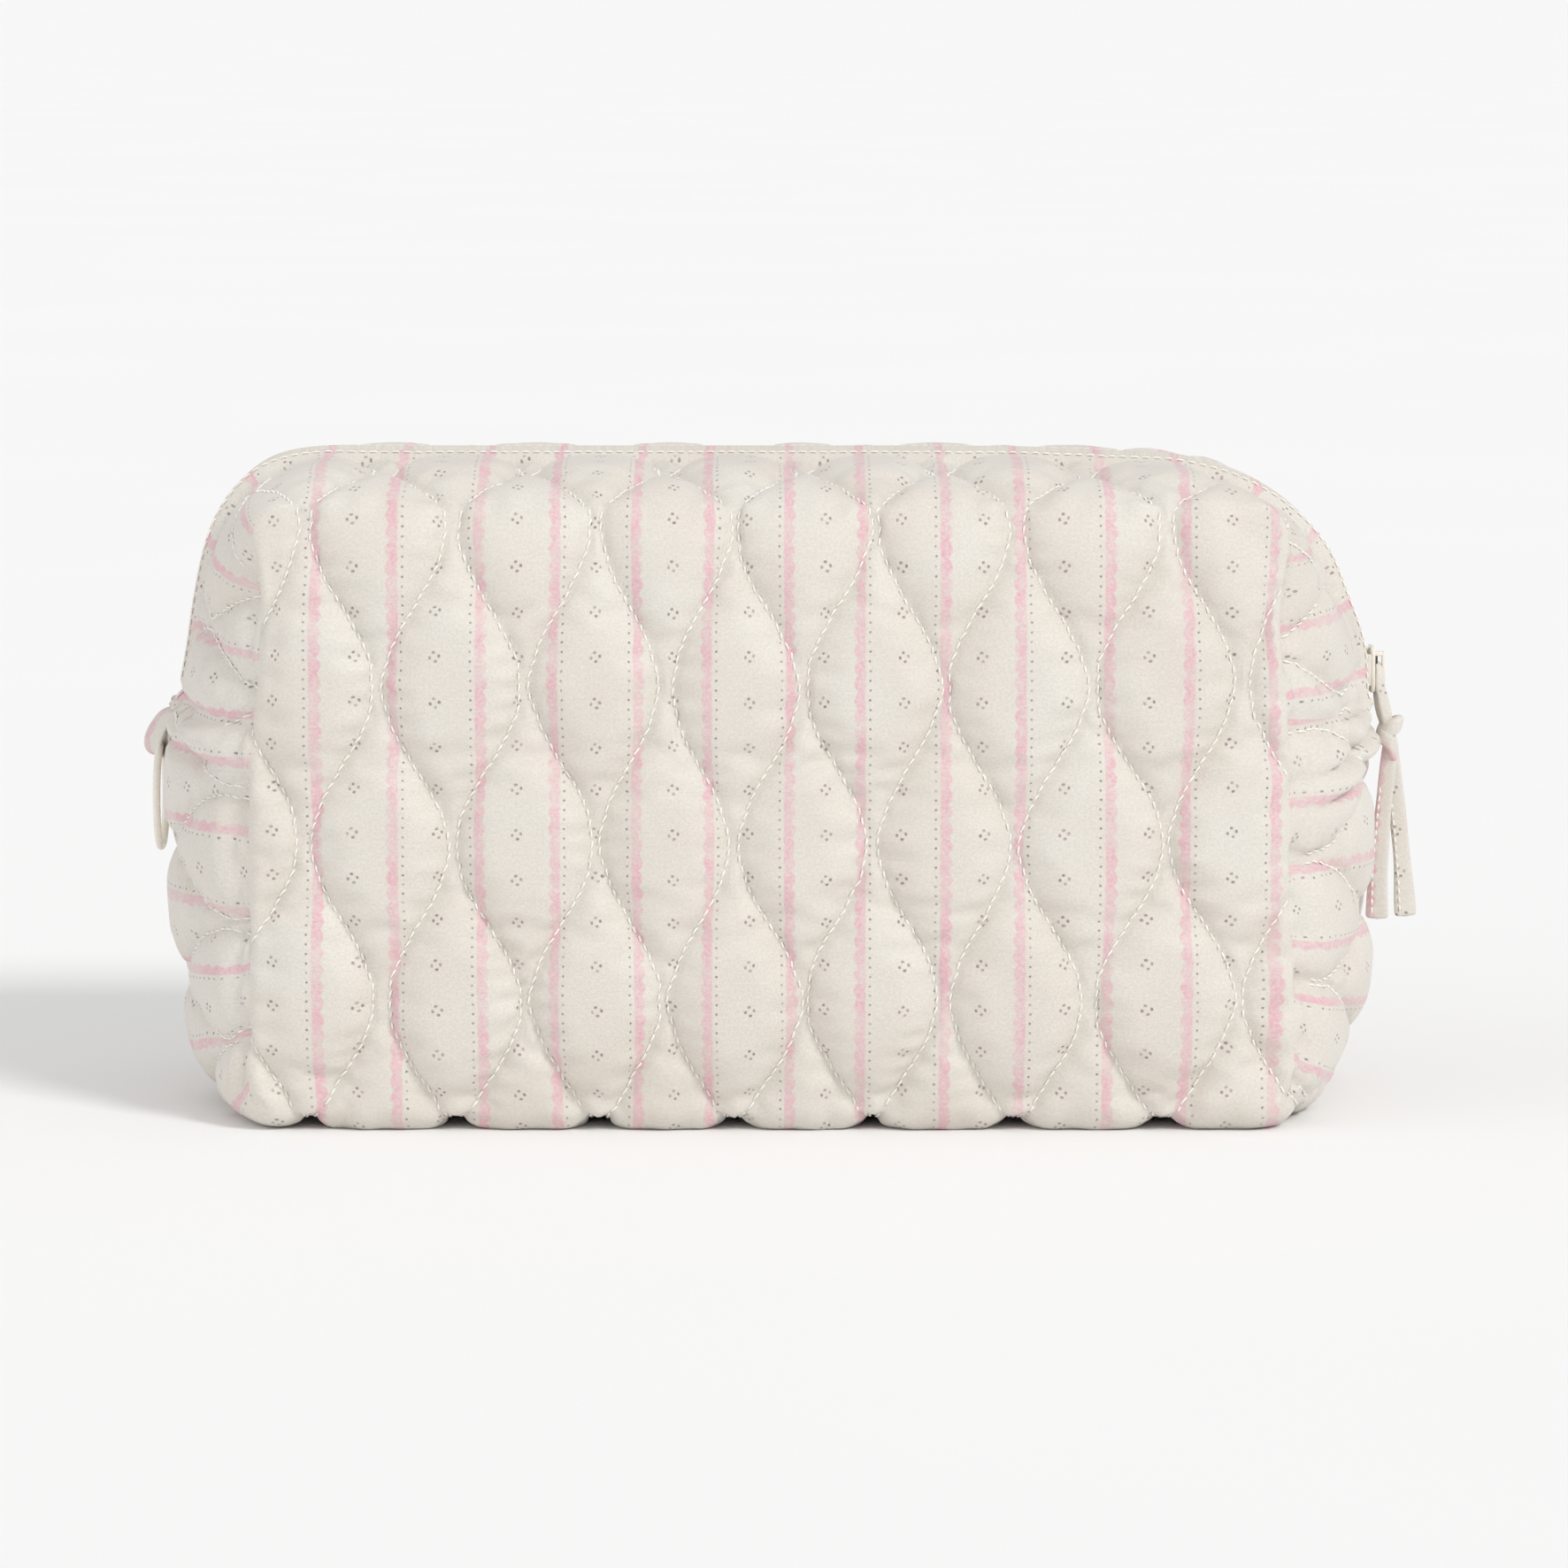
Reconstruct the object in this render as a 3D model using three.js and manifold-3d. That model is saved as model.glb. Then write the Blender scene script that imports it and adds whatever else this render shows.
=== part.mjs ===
// A boxy quilted makeup bag with a zip over the top, a cloth pull tie and a side ring.
// Millimetres. +X runs to the right end, -Y is the front, +Z is up, and the origin is the
// middle of the flat base.
import * as THREE from "three";
import { mergeVertices } from "three/addons/utils/BufferGeometryUtils.js";
import Module from "manifold-3d";

const wasm = await Module();
wasm.setup();

// ---------- driving dimensions ----------
// The bag's outline bulges from the front and back outlines to the middle one.
const MIDDLE_HALF_LENGTH = 130.5;
const MIDDLE_HEIGHT = 142.5;
const FACE_HALF_LENGTH = 112;
const FACE_HEIGHT = 136;
const HALF_DEPTH = 52; // to the outline of the front or back face
const FACE_CROWN = 8; // how far each face swells past its outline
const FACE_LIFT = 2; // how far the base curls up at the face outlines
const BASE_HALF_DEPTH = 44; // the base is flat this far out
const BASE_TAPER = 10; // the middle of each end leans in by this much at the base
const FACE_TAPER = -1; // the face outlines flare a little instead
const TAPER_TOP = 70; // height where the ends start to lean in

// corner radii
const RIGHT_SHOULDER = 48.5; // the zip runs over this one
const LEFT_SHOULDER = 40;
const FACE_SHOULDER = 10;
const BASE_CORNER = 9;

// fabric sandwich
const COVER = 1.0;
const WADDING = 2.8;
const LINING = 0.8;
const GAP = 0.3; // left between any two pieces that would touch

// zip
const SLOT_HALF = 6; // half the width of the slot that the zip fills
const ZIP_END_DROP = 8; // the seams that stop the zip lie this far below the right shoulder
const TAPE_DEPTH = 1.3; // how far the tape lies under the outside
const TAPE = 0.7;
const TAPE_INNER_EDGE = 0.7;
const COIL_PROUD = 0.3;
const COIL_OUTER_EDGE = 2.8;
const STOP_HEIGHT = 1.5;

// mouth
const MOUTH_RISE = 10; // the two upper halves open this far above the start of the right shoulder

// slider
const SLIDER_LENGTH = 10;
const SLIDER_WIDTH = 8.6;
const SLIDER_PLATE = 1.0;
const SLIDER_NECK_HALF = 0.35;
const SLIDER_NECK_LENGTH = 3;
const UNDER_PLATE_CLEARANCE = 0.8; // lets the straight plate ride round the shoulder
const BRIDGE_LENGTH = 7.4;
const BRIDGE_WIDTH = 2.4;
const BRIDGE_ROOM = 1.7;
const BRIDGE = 0.8;

// pull tie
const TIE_STRIP = 1.7;
const TIE_ROD_RADIUS = 0.5; // the tie where it is pinched under the bridge
const KNOT_DROP = 13.5;
const KNOT = { across: 3.1, through: 3.6, tall: 4.2 };
const TAIL_WIDTH = 4.7;
const TAIL_DROP = 55.5;
const NEAR_TAIL_LEAN = -2;
const FAR_TAIL_LEAN = 4.5;

// ring and its tab
const RING_OUTER_RADIUS = 12;
const RING_WIRE = 1.7;
const RING_DROP = 8; // the ring hangs this far below the seam that holds its tab
const TAB = 1.0;
const TAB_WIDTH = 6.4;
const TAB_EYE_RADIUS = 1.65;
const TAB_NECK_DROP = 1; // below the same seam

// seam bindings inside the ends
const BINDING = 1.2;
const BINDING_HEIGHT = 6;
const BINDING_HALF_DEPTH = 40;

// ---------- worked-out places ----------
const coverInside = COVER;
const waddingOutside = coverInside + GAP;
const waddingInside = waddingOutside + WADDING;
const liningOutside = waddingInside + GAP;
const liningInside = liningOutside + LINING;
const tapeInside = TAPE_DEPTH + TAPE;
const coilInside = TAPE_DEPTH - GAP;
const shoulder = {
  x: MIDDLE_HALF_LENGTH - RIGHT_SHOULDER,
  z: MIDDLE_HEIGHT - RIGHT_SHOULDER,
};
const zipEndHeight = shoulder.z - ZIP_END_DROP;
const mouthHeight = shoulder.z + MOUTH_RISE;
const LARGE = 400; // bigger than the bag

// ---------- solids ----------
function solidOf(geometry) {
  const bare = new THREE.BufferGeometry();
  bare.setAttribute("position", geometry.getAttribute("position"));
  if (geometry.index) bare.setIndex(geometry.index);
  const merged = mergeVertices(bare, 1e-4);
  return new wasm.Manifold(
    new wasm.Mesh({
      numProp: 3,
      vertProperties: new Float32Array(merged.attributes.position.array),
      triVerts: new Uint32Array(merged.index.array),
    }),
  );
}

function geometryOf(solid) {
  const mesh = solid.getMesh();
  const geometry = new THREE.BufferGeometry();
  const positions = new THREE.BufferAttribute(mesh.vertProperties, mesh.numProp);
  geometry.setAttribute("position", positions);
  geometry.setIndex(new THREE.BufferAttribute(mesh.triVerts, 1));
  geometry.computeVertexNormals();
  return geometry;
}

// A block between two opposite corners.
function block(low, high) {
  const size = low.map((v, i) => high[i] - v);
  const middle = low.map((v, i) => (high[i] + v) / 2);
  return solidOf(new THREE.BoxGeometry(...size).translate(...middle));
}

function mix(a, b, t) {
  return a + (b - a) * t;
}

// 1 along the middle of the bag and 0 at the face outlines.
function bulge(y) {
  const out = Math.max(0, Math.abs(y) - SLOT_HALF) / (HALF_DEPTH - SLOT_HALF);
  return 1 - out ** 2.2;
}

function leanIn(z, g) {
  const below = Math.max(0, TAPER_TOP - z) / TAPER_TOP;
  return mix(FACE_TAPER, BASE_TAPER, g) * below ** 3;
}

// The closed outline in X and Z at one depth, counted anticlockwise from the base's right corner.
function outlineAt(y, inset) {
  const g = bulge(y);
  const half = mix(FACE_HALF_LENGTH, MIDDLE_HALF_LENGTH, g) - inset;
  const top = mix(FACE_HEIGHT, MIDDLE_HEIGHT, g) - inset;
  const past = Math.max(0, Math.abs(y) - BASE_HALF_DEPTH) / (HALF_DEPTH - BASE_HALF_DEPTH);
  const base = FACE_LIFT * past ** 2 + inset;
  const low = BASE_CORNER - Math.min(inset, BASE_CORNER - 1);
  const right = mix(FACE_SHOULDER, RIGHT_SHOULDER, g) - inset;
  const left = mix(FACE_SHOULDER, LEFT_SHOULDER, g) - inset;
  const points = [];
  const corner = (x, z, radius, from, steps) => {
    for (let i = 0; i <= steps; i++) {
      const angle = from + (i / steps) * (Math.PI / 2);
      points.push([x + radius * Math.cos(angle), z + radius * Math.sin(angle)]);
    }
  };
  corner(half - low, base + low, low, -Math.PI / 2, 3);
  points.push([half, mix(base + low, TAPER_TOP, 0.45)]);
  points.push([half, TAPER_TOP]);
  corner(half - right, top - right, right, 0, 12);
  corner(-half + left, top - left, left, Math.PI / 2, 7);
  points.push([-half, TAPER_TOP]);
  points.push([-half, mix(base + low, TAPER_TOP, 0.45)]);
  corner(-half + low, base + low, low, Math.PI, 3);
  return points.map(([x, z]) => [x - Math.sign(x) * leanIn(z, g) * (Math.abs(x) / half), z]);
}

// The whole bag as one closed solid, shrunk by an inset on every side.
function bagSolid(inset) {
  const shrink = (HALF_DEPTH - inset) / HALF_DEPTH;
  const centre = MIDDLE_HEIGHT / 2;
  const sections = [];
  for (const scale of [0.55, 0.82, 0.95]) {
    const y = -(HALF_DEPTH * shrink + FACE_CROWN * (1 - scale ** 3) ** 0.8);
    const points = outlineAt(HALF_DEPTH, inset);
    sections.push(points.map(([x, z]) => [x * scale, y, centre + (z - centre) * scale]));
  }
  for (const y of [-HALF_DEPTH, -BASE_HALF_DEPTH, -28, -SLOT_HALF])
    sections.push(outlineAt(y, inset).map(([x, z]) => [x, y * shrink, z]));
  const mirrored = sections.map((s) => s.map(([x, y, z]) => [x, -y, z])).reverse();
  const rings = [...sections, ...mirrored];
  const count = rings[0].length;
  const positions = rings.flat(2);
  const crown = HALF_DEPTH * shrink + FACE_CROWN;
  const firstHub = rings.length * count;
  positions.push(0, -crown, centre, 0, crown, centre);
  const index = [];
  for (let i = 0; i < count; i++) {
    const next = (i + 1) % count;
    for (let r = 0; r + 1 < rings.length; r++) {
      const a = r * count;
      const b = a + count;
      index.push(a + i, a + next, b + next, a + i, b + next, b + i);
    }
    const last = (rings.length - 1) * count;
    index.push(firstHub, next, i, firstHub + 1, last + i, last + next);
  }
  const geometry = new THREE.BufferGeometry();
  geometry.setAttribute("position", new THREE.Float32BufferAttribute(positions, 3));
  geometry.setIndex(index);
  const solid = solidOf(geometry);
  if (solid.volume() > 0) return solid;
  geometry.setIndex(index.toReversed());
  return solidOf(geometry);
}

// One layer of the sandwich between two insets.
function layer(outside, inside) {
  return bagSolid(outside).subtract(bagSolid(inside));
}

// The strip that follows the zip's run in the middle of the bag, between two insets and two
// depths, from a height on the right end over the top and down to the same height on the left.
function zipBand(outside, inside, nearY, farY, height) {
  const run = (inset) => {
    const half = MIDDLE_HALF_LENGTH - inset;
    const path = new THREE.Path();
    path.moveTo(half, height);
    path.lineTo(half, shoulder.z);
    path.absarc(shoulder.x, shoulder.z, RIGHT_SHOULDER - inset, 0, Math.PI / 2, false);
    const leftX = LEFT_SHOULDER - MIDDLE_HALF_LENGTH;
    const leftZ = MIDDLE_HEIGHT - LEFT_SHOULDER;
    path.lineTo(leftX, MIDDLE_HEIGHT - inset);
    path.absarc(leftX, leftZ, LEFT_SHOULDER - inset, Math.PI / 2, Math.PI, false);
    path.lineTo(-half, height);
    return path.getPoints(12);
  };
  const shape = new THREE.Shape([...run(outside), ...run(inside).reverse()]);
  const settings = { depth: farY - nearY, bevelEnabled: false };
  const geometry = new THREE.ExtrudeGeometry(shape, settings);
  geometry.rotateX(Math.PI / 2); // the shape's Y becomes the bag's Z
  geometry.translate(0, farY, 0);
  return solidOf(geometry);
}

// ---------- materials ----------
const printedCloth = new THREE.MeshStandardMaterial({ color: 0xe9dcd4, roughness: 0.6 });
const wadding = new THREE.MeshStandardMaterial({ color: 0xf4f2ee, roughness: 0.95 });
const liningCloth = new THREE.MeshStandardMaterial({ color: 0xece4da, roughness: 0.7 });
const tapeCloth = new THREE.MeshStandardMaterial({ color: 0xeae2d6, roughness: 0.8 });
const nylon = new THREE.MeshStandardMaterial({ color: 0xefe8dc, roughness: 0.4 });
const enamel = new THREE.MeshStandardMaterial({ color: 0xe9dfd0, roughness: 0.3, metalness: 0.1 });
const steel = new THREE.MeshStandardMaterial({ color: 0xd8cfc2, roughness: 0.3, metalness: 0.8 });

const bag = new THREE.Group();

function add(name, material, solid, group = bag) {
  const mesh = new THREE.Mesh(geometryOf(solid), material);
  mesh.name = name;
  group.add(mesh);
  return mesh;
}

// ---------- quilted body and the two upper halves ----------
const slot = block([-LARGE, -SLOT_HALF, zipEndHeight], [LARGE, SLOT_HALF, LARGE]);
const belowMouth = block([-LARGE, -LARGE, -LARGE], [LARGE, LARGE, mouthHeight - GAP / 2]);
const frontUpper = block([-LARGE, -LARGE, mouthHeight + GAP / 2], [LARGE, -SLOT_HALF, LARGE]);
const backUpper = block([-LARGE, SLOT_HALF, mouthHeight + GAP / 2], [LARGE, LARGE, LARGE]);

function addLayer(kind, material, outside, inside) {
  const whole = layer(outside, inside);
  add("body_" + kind, material, whole.intersect(belowMouth).subtract(slot));
  add("front_flap_" + kind, material, whole.intersect(frontUpper));
  add("back_flap_" + kind, material, whole.intersect(backUpper));
}

addLayer("cover", printedCloth, 0, coverInside);
addLayer("wadding", wadding, waddingOutside, waddingInside);
addLayer("lining", liningCloth, liningOutside, liningInside);

// ---------- seam bindings across the inside of the ends ----------
function addBinding(name, side) {
  const low = [Math.min(0, side * LARGE), -BINDING_HALF_DEPTH, zipEndHeight - BINDING_HEIGHT];
  const high = [Math.max(0, side * LARGE), BINDING_HALF_DEPTH, zipEndHeight];
  const around = layer(liningInside + GAP, liningInside + GAP + BINDING);
  add(name, tapeCloth, around.intersect(block(low, high)));
}

addBinding("right_end_binding", 1);
addBinding("left_end_binding", -1);

// ---------- zip ----------
const tapeOuterEdge = SLOT_HALF - GAP;
const stopBase = zipEndHeight + GAP;
const coilBase = stopBase + STOP_HEIGHT + GAP;

// One side's tape and coil: a free run on the upper half and two ends held by the body.
function addZipSide(side, face) {
  const [tapeNear, tapeFar] = face < 0
    ? [-tapeOuterEdge, -TAPE_INNER_EDGE]
    : [TAPE_INNER_EDGE, tapeOuterEdge];
  const [coilNear, coilFar] = face < 0
    ? [-COIL_OUTER_EDGE, -TAPE_INNER_EDGE]
    : [TAPE_INNER_EDGE, COIL_OUTER_EDGE];
  const upper = block([-LARGE, -LARGE, mouthHeight + GAP / 2], [LARGE, LARGE, LARGE]);
  const rightLower = block([0, -LARGE, -LARGE], [LARGE, LARGE, mouthHeight - GAP / 2]);
  const leftLower = block([-LARGE, -LARGE, -LARGE], [0, LARGE, mouthHeight - GAP / 2]);
  const tape = zipBand(TAPE_DEPTH, tapeInside, tapeNear, tapeFar, stopBase);
  const coil = zipBand(-COIL_PROUD, coilInside, coilNear, coilFar, coilBase);
  add(side + "_zip_tape", tapeCloth, tape.intersect(upper));
  add("right_" + side + "_tape_end", tapeCloth, tape.intersect(rightLower));
  add("left_" + side + "_tape_end", tapeCloth, tape.intersect(leftLower));
  add(side + "_zip_coil", nylon, coil.intersect(upper));
  add("right_" + side + "_coil_end", nylon, coil.intersect(rightLower));
  add("left_" + side + "_coil_end", nylon, coil.intersect(leftLower));
  const stopLow = [MIDDLE_HALF_LENGTH - coilInside, coilNear, stopBase];
  const stopHigh = [MIDDLE_HALF_LENGTH + COIL_PROUD, coilFar, stopBase + STOP_HEIGHT];
  add("zip_top_stop_" + side, steel, block(stopLow, stopHigh));
}

addZipSide("front", -1);
addZipSide("back", 1);

const bottomStopLow = [-MIDDLE_HALF_LENGTH - COIL_PROUD, -COIL_OUTER_EDGE, stopBase];
const bottomStopHigh = [coilInside - MIDDLE_HALF_LENGTH, COIL_OUTER_EDGE, stopBase + STOP_HEIGHT];
add("zip_bottom_stop", steel, block(bottomStopLow, bottomStopHigh));

// ---------- slider: two plates joined by a neck, with a bridge along the outside ----------
// Built lying against the right end, with the bag's outside at X = 0 and its middle at Z = 0.
const plateBase = COIL_PROUD + GAP;
const plateTop = plateBase + SLIDER_PLATE;
const bridgeInside = plateTop + BRIDGE_ROOM;
const pinX = plateTop + BRIDGE_ROOM / 2;

function roundedPlate(from, to) {
  const half = SLIDER_LENGTH / 2;
  const wide = SLIDER_WIDTH / 2;
  const nose = 2.2;
  const shape = new THREE.Shape();
  shape.moveTo(-wide * 0.72, -half);
  shape.lineTo(wide * 0.72, -half);
  shape.lineTo(wide, half - nose);
  shape.absarc(wide - nose, half - nose, nose, 0, Math.PI / 2, false);
  shape.lineTo(nose - wide, half);
  shape.absarc(nose - wide, half - nose, nose, Math.PI / 2, Math.PI, false);
  shape.closePath();
  const settings = { depth: to - from, bevelEnabled: false, curveSegments: 4 };
  const geometry = new THREE.ExtrudeGeometry(shape, settings);
  // the shape's X becomes the bag's Y, its Y becomes Z and its depth becomes X
  geometry.applyMatrix4(new THREE.Matrix4().set(0, 0, 1, from, 1, 0, 0, 0, 0, 1, 0, 0, 0, 0, 0, 1));
  return solidOf(geometry);
}

function sliderSolid() {
  const underTop = -(tapeInside + UNDER_PLATE_CLEARANCE);
  const upperPlate = roundedPlate(plateBase, plateTop);
  const underPlate = roundedPlate(underTop - SLIDER_PLATE, underTop);
  const neckHalf = SLIDER_NECK_LENGTH / 2;
  const neckLow = [underTop - SLIDER_PLATE / 2, -SLIDER_NECK_HALF, -neckHalf];
  const neckHigh = [plateBase + SLIDER_PLATE / 2, SLIDER_NECK_HALF, neckHalf];
  const half = BRIDGE_LENGTH / 2;
  const wide = BRIDGE_WIDTH / 2;
  const bow = block([plateTop - SLIDER_PLATE / 2, -wide, -half], [bridgeInside + BRIDGE, wide, half]);
  const room = block([plateTop, -LARGE, BRIDGE - half], [bridgeInside, LARGE, half - BRIDGE]);
  return upperPlate.add(underPlate).add(block(neckLow, neckHigh)).add(bow.subtract(room));
}

const slider = new THREE.Group();
slider.position.set(MIDDLE_HALF_LENGTH, 0, shoulder.z);
bag.add(slider);
add("zip_slider", enamel, sliderSolid(), slider);

// ---------- pull tie: a folded cloth strip through the bridge, knotted, with two tails ----------
function tailSolid(lean, nearY) {
  const top = -KNOT_DROP;
  const shape = new THREE.Shape();
  const half = TAIL_WIDTH / 2;
  shape.moveTo(half, top);
  shape.lineTo(-half, top);
  shape.lineTo(lean - half, -TAIL_DROP);
  shape.lineTo(lean + half, -TAIL_DROP);
  shape.closePath();
  const geometry = new THREE.ExtrudeGeometry(shape, { depth: TIE_STRIP, bevelEnabled: false });
  geometry.rotateX(Math.PI / 2);
  geometry.translate(TAIL_WIDTH / 2, nearY + TIE_STRIP, 0);
  return solidOf(geometry);
}

function tieSolid() {
  const reach = BRIDGE_WIDTH / 2 + GAP + TIE_STRIP;
  const rod = new THREE.CylinderGeometry(TIE_ROD_RADIUS, TIE_ROD_RADIUS, 2 * reach - 0.4, 10);
  const knot = new THREE.SphereGeometry(1, 14, 10);
  knot.scale(KNOT.across, KNOT.through, KNOT.tall);
  knot.translate(KNOT.across - TIE_ROD_RADIUS, 0, -KNOT_DROP);
  let solid = solidOf(rod).add(solidOf(knot));
  for (const side of [-1, 1]) {
    const near = side * (BRIDGE_WIDTH / 2 + GAP);
    const far = side * reach;
    const low = [-TIE_ROD_RADIUS, Math.min(near, far), -KNOT_DROP];
    const high = [TIE_ROD_RADIUS, Math.max(near, far), TIE_ROD_RADIUS];
    solid = solid.add(block(low, high));
  }
  const nearTail = tailSolid(NEAR_TAIL_LEAN, -TIE_STRIP - 0.1);
  const farTail = tailSolid(FAR_TAIL_LEAN, 0.1);
  return solid.add(nearTail).add(farTail);
}

const tie = new THREE.Group();
tie.position.set(pinX, 0, 0);
slider.add(tie);
add("pull_tie", printedCloth, tieSolid(), tie);

// ---------- ring and the cloth tab that holds it ----------
const eyeX = -MIDDLE_HALF_LENGTH - GAP - TAB - TAB_EYE_RADIUS;
const eyeZ = zipEndHeight - RING_DROP - RING_WIRE / 2;

function tabSolid() {
  const outer = TAB_EYE_RADIUS + TAB;
  const eye = new THREE.CylinderGeometry(TAB_EYE_RADIUS, TAB_EYE_RADIUS, 2 * TAB_WIDTH, 16);
  const sleeve = new THREE.CylinderGeometry(outer, outer, TAB_WIDTH, 16);
  const neckLow = [-outer, -TAB_WIDTH / 2, 0];
  const neckHigh = [outer, TAB_WIDTH / 2, zipEndHeight - TAB_NECK_DROP - eyeZ];
  const neck = block(neckLow, neckHigh);
  return solidOf(sleeve).add(neck).subtract(solidOf(eye));
}

const tab = add("ring_tab", printedCloth, tabSolid());
tab.position.set(eyeX, 0, eyeZ);

function ringSolid() {
  const middleRadius = RING_OUTER_RADIUS - RING_WIRE / 2;
  const torus = new THREE.TorusGeometry(middleRadius, RING_WIRE / 2, 8, 32);
  torus.rotateY(Math.PI / 2);
  torus.translate(0, 0, -middleRadius);
  return solidOf(torus);
}

const ring = add("side_ring", enamel, ringSolid());
ring.position.set(eyeX, 0, eyeZ);

export default bag;
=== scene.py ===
# %% [markdown]
# # A quilted makeup bag
#
# A boxy cotton-sateen bag, quilted in an ogee lattice, with a zip over the top, a knotted cloth
# pull at the right end and a small ring on a cloth tab at the left end. The frame holds the
# bag's size, its zip and its joints. This notebook makes what the eye sees around that frame.

# %% Frame
import bpy
import bmesh
import math
import numpy as np
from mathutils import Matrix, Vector
from mathutils.bvhtree import BVHTree


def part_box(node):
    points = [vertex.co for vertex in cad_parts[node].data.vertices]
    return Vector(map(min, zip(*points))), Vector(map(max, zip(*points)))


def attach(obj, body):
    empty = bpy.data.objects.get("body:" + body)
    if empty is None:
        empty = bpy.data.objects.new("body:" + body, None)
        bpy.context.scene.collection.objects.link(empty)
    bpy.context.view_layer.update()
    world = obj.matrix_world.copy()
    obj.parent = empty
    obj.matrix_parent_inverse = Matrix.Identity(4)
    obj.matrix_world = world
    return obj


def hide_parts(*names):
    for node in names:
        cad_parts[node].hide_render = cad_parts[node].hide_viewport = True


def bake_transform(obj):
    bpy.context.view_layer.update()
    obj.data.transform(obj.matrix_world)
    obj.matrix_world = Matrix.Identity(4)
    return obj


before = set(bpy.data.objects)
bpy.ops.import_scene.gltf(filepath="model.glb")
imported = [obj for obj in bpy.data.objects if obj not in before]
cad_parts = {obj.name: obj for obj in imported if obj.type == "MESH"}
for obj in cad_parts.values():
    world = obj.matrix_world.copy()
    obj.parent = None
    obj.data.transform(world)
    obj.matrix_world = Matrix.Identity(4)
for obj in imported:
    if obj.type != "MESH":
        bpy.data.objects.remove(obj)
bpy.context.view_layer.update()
bpy.ops.object.select_all(action="DESELECT")
MM = 0.001

# %% [markdown]
# ## Camera
#
# The bag is seen from the front, a little above its middle, from about a metre and a half away.
# A long lens keeps the box calm and square, and its lens length follows from how wide the view is.

# %% Camera
CAMERA_DISTANCE = 1.45
CAMERA_RISE = math.radians(7.0)
VIEW_WIDTH = 343.8 * MM  # how much of the bag's place fits across the view
AIM = Vector((0.0031, 0, 0.0685))
camera_data = bpy.data.cameras.new("camera")
camera_data.sensor_width = 36
camera_data.clip_start = 0.05
camera_data.lens = camera_data.sensor_width * CAMERA_DISTANCE / VIEW_WIDTH
camera = bpy.data.objects.new("camera", camera_data)
bpy.context.scene.collection.objects.link(camera)
reach = Vector((0, -math.cos(CAMERA_RISE), math.sin(CAMERA_RISE))) * CAMERA_DISTANCE
camera.location = AIM + reach
camera.rotation_euler = (AIM - camera.location).to_track_quat("-Z", "Y").to_euler()
bpy.context.scene.camera = camera
print("lens", round(camera_data.lens, 1), "mm")

# %% [markdown]
# ## The bag's shape
#
# A boxed-corner bag is one padded cloth wrapped round front, top and base. Its cross-section is
# a rounded outline that is small at the front and back faces and largest in the middle, so each
# section can be written as four corner arcs joined by straight runs. The right shoulder sags
# more than the left. A formula is used, and not a sculpt, so that the cloth, its lining and
# the zip all follow the same surface.

# %% Shape of the bag, in millimetres
body_low, body_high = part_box("body_cover")
flap_low, flap_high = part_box("front_flap_cover")
MIDDLE_HALF = body_high.x / MM
MIDDLE_HEIGHT = flap_high.z / MM
CROWN_DEPTH = -body_low.y / MM
FACE_CROWN = 8.0
HALF_DEPTH = CROWN_DEPTH - FACE_CROWN
FACE_HALF = 112.0
FACE_HEIGHT = 136.0
FACE_LIFT = 2.0
BASE_HALF_DEPTH = 44.0
BASE_TAPER = 10.0
FACE_TAPER = -1.0
TAPER_TOP = 70.0
RIGHT_SHOULDER = 48.5
LEFT_SHOULDER = 40.0
FACE_SHOULDER = 10.0
BASE_CORNER = 9.0
SLOT_HALF = 6.0
ZIP_END = 86.0
SIDE_STEPS = np.linspace(0, 1, 14)[1:-1, None]  # points on the straight run between two corners


def mix(a, b, t):
    return a + (b - a) * t


def outline(y, inset, steps=24):
    """Points round one section, anticlockwise from the middle of the base's right corner,
    and the place in that list of each corner's middle."""
    out = max(0.0, abs(y) - SLOT_HALF) / (HALF_DEPTH - SLOT_HALF)
    g = 1 - out**2.2
    half = mix(FACE_HALF, MIDDLE_HALF, g) - inset
    top = mix(FACE_HEIGHT, MIDDLE_HEIGHT, g) - inset
    past = max(0.0, abs(y) - BASE_HALF_DEPTH) / (HALF_DEPTH - BASE_HALF_DEPTH)
    base = FACE_LIFT * past**2 + inset
    low = BASE_CORNER - min(inset, BASE_CORNER - 1)
    right = mix(FACE_SHOULDER, RIGHT_SHOULDER, g) - inset
    left = mix(FACE_SHOULDER, LEFT_SHOULDER, g) - inset
    corners = [
        (half - right, top - right, right, 0.0),
        (-half + left, top - left, left, 0.5 * math.pi),
        (-half + low, base + low, low, math.pi),
        (half - low, base + low, low, 1.5 * math.pi),
    ]
    points = []
    middles = []
    for x, z, radius, start in corners:
        angles = start + np.linspace(0, 0.5 * math.pi, steps + 1)
        arc = np.stack([x + radius * np.cos(angles), z + radius * np.sin(angles)], 1)
        if points:
            last = points[-1][-1]
            points.append(last + (arc[0] - last) * SIDE_STEPS)
        middles.append(sum(len(p) for p in points) + steps // 2)
        points.append(arc)
    last, first = points[-1][-1], points[0][0]
    points.append(last + (first - last) * SIDE_STEPS)
    loop = np.concatenate(points)
    below = np.maximum(0, TAPER_TOP - loop[:, 1]) / TAPER_TOP
    lean = mix(FACE_TAPER, BASE_TAPER, g) * below**3
    loop[:, 0] -= lean * loop[:, 0] / half
    return loop, middles


print("section points:", len(outline(0, 0)[0]))

# %% [markdown]
# ## A net for the cloth
#
# The padded cloth needs even, square cells of about 2 mm, or it folds badly when it is
# simulated. Front and back are each a rectangular net, and a band of rows joins their borders.
# Each corner of the net knows its place on the flat cloth, which becomes its UV. So the print
# and the quilting follow the cloth round the edges as they do on the real bag: stripes that
# stand upright on the front lie level on the ends.

# %% Net of the whole bag
CELL = 1.9


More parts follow.
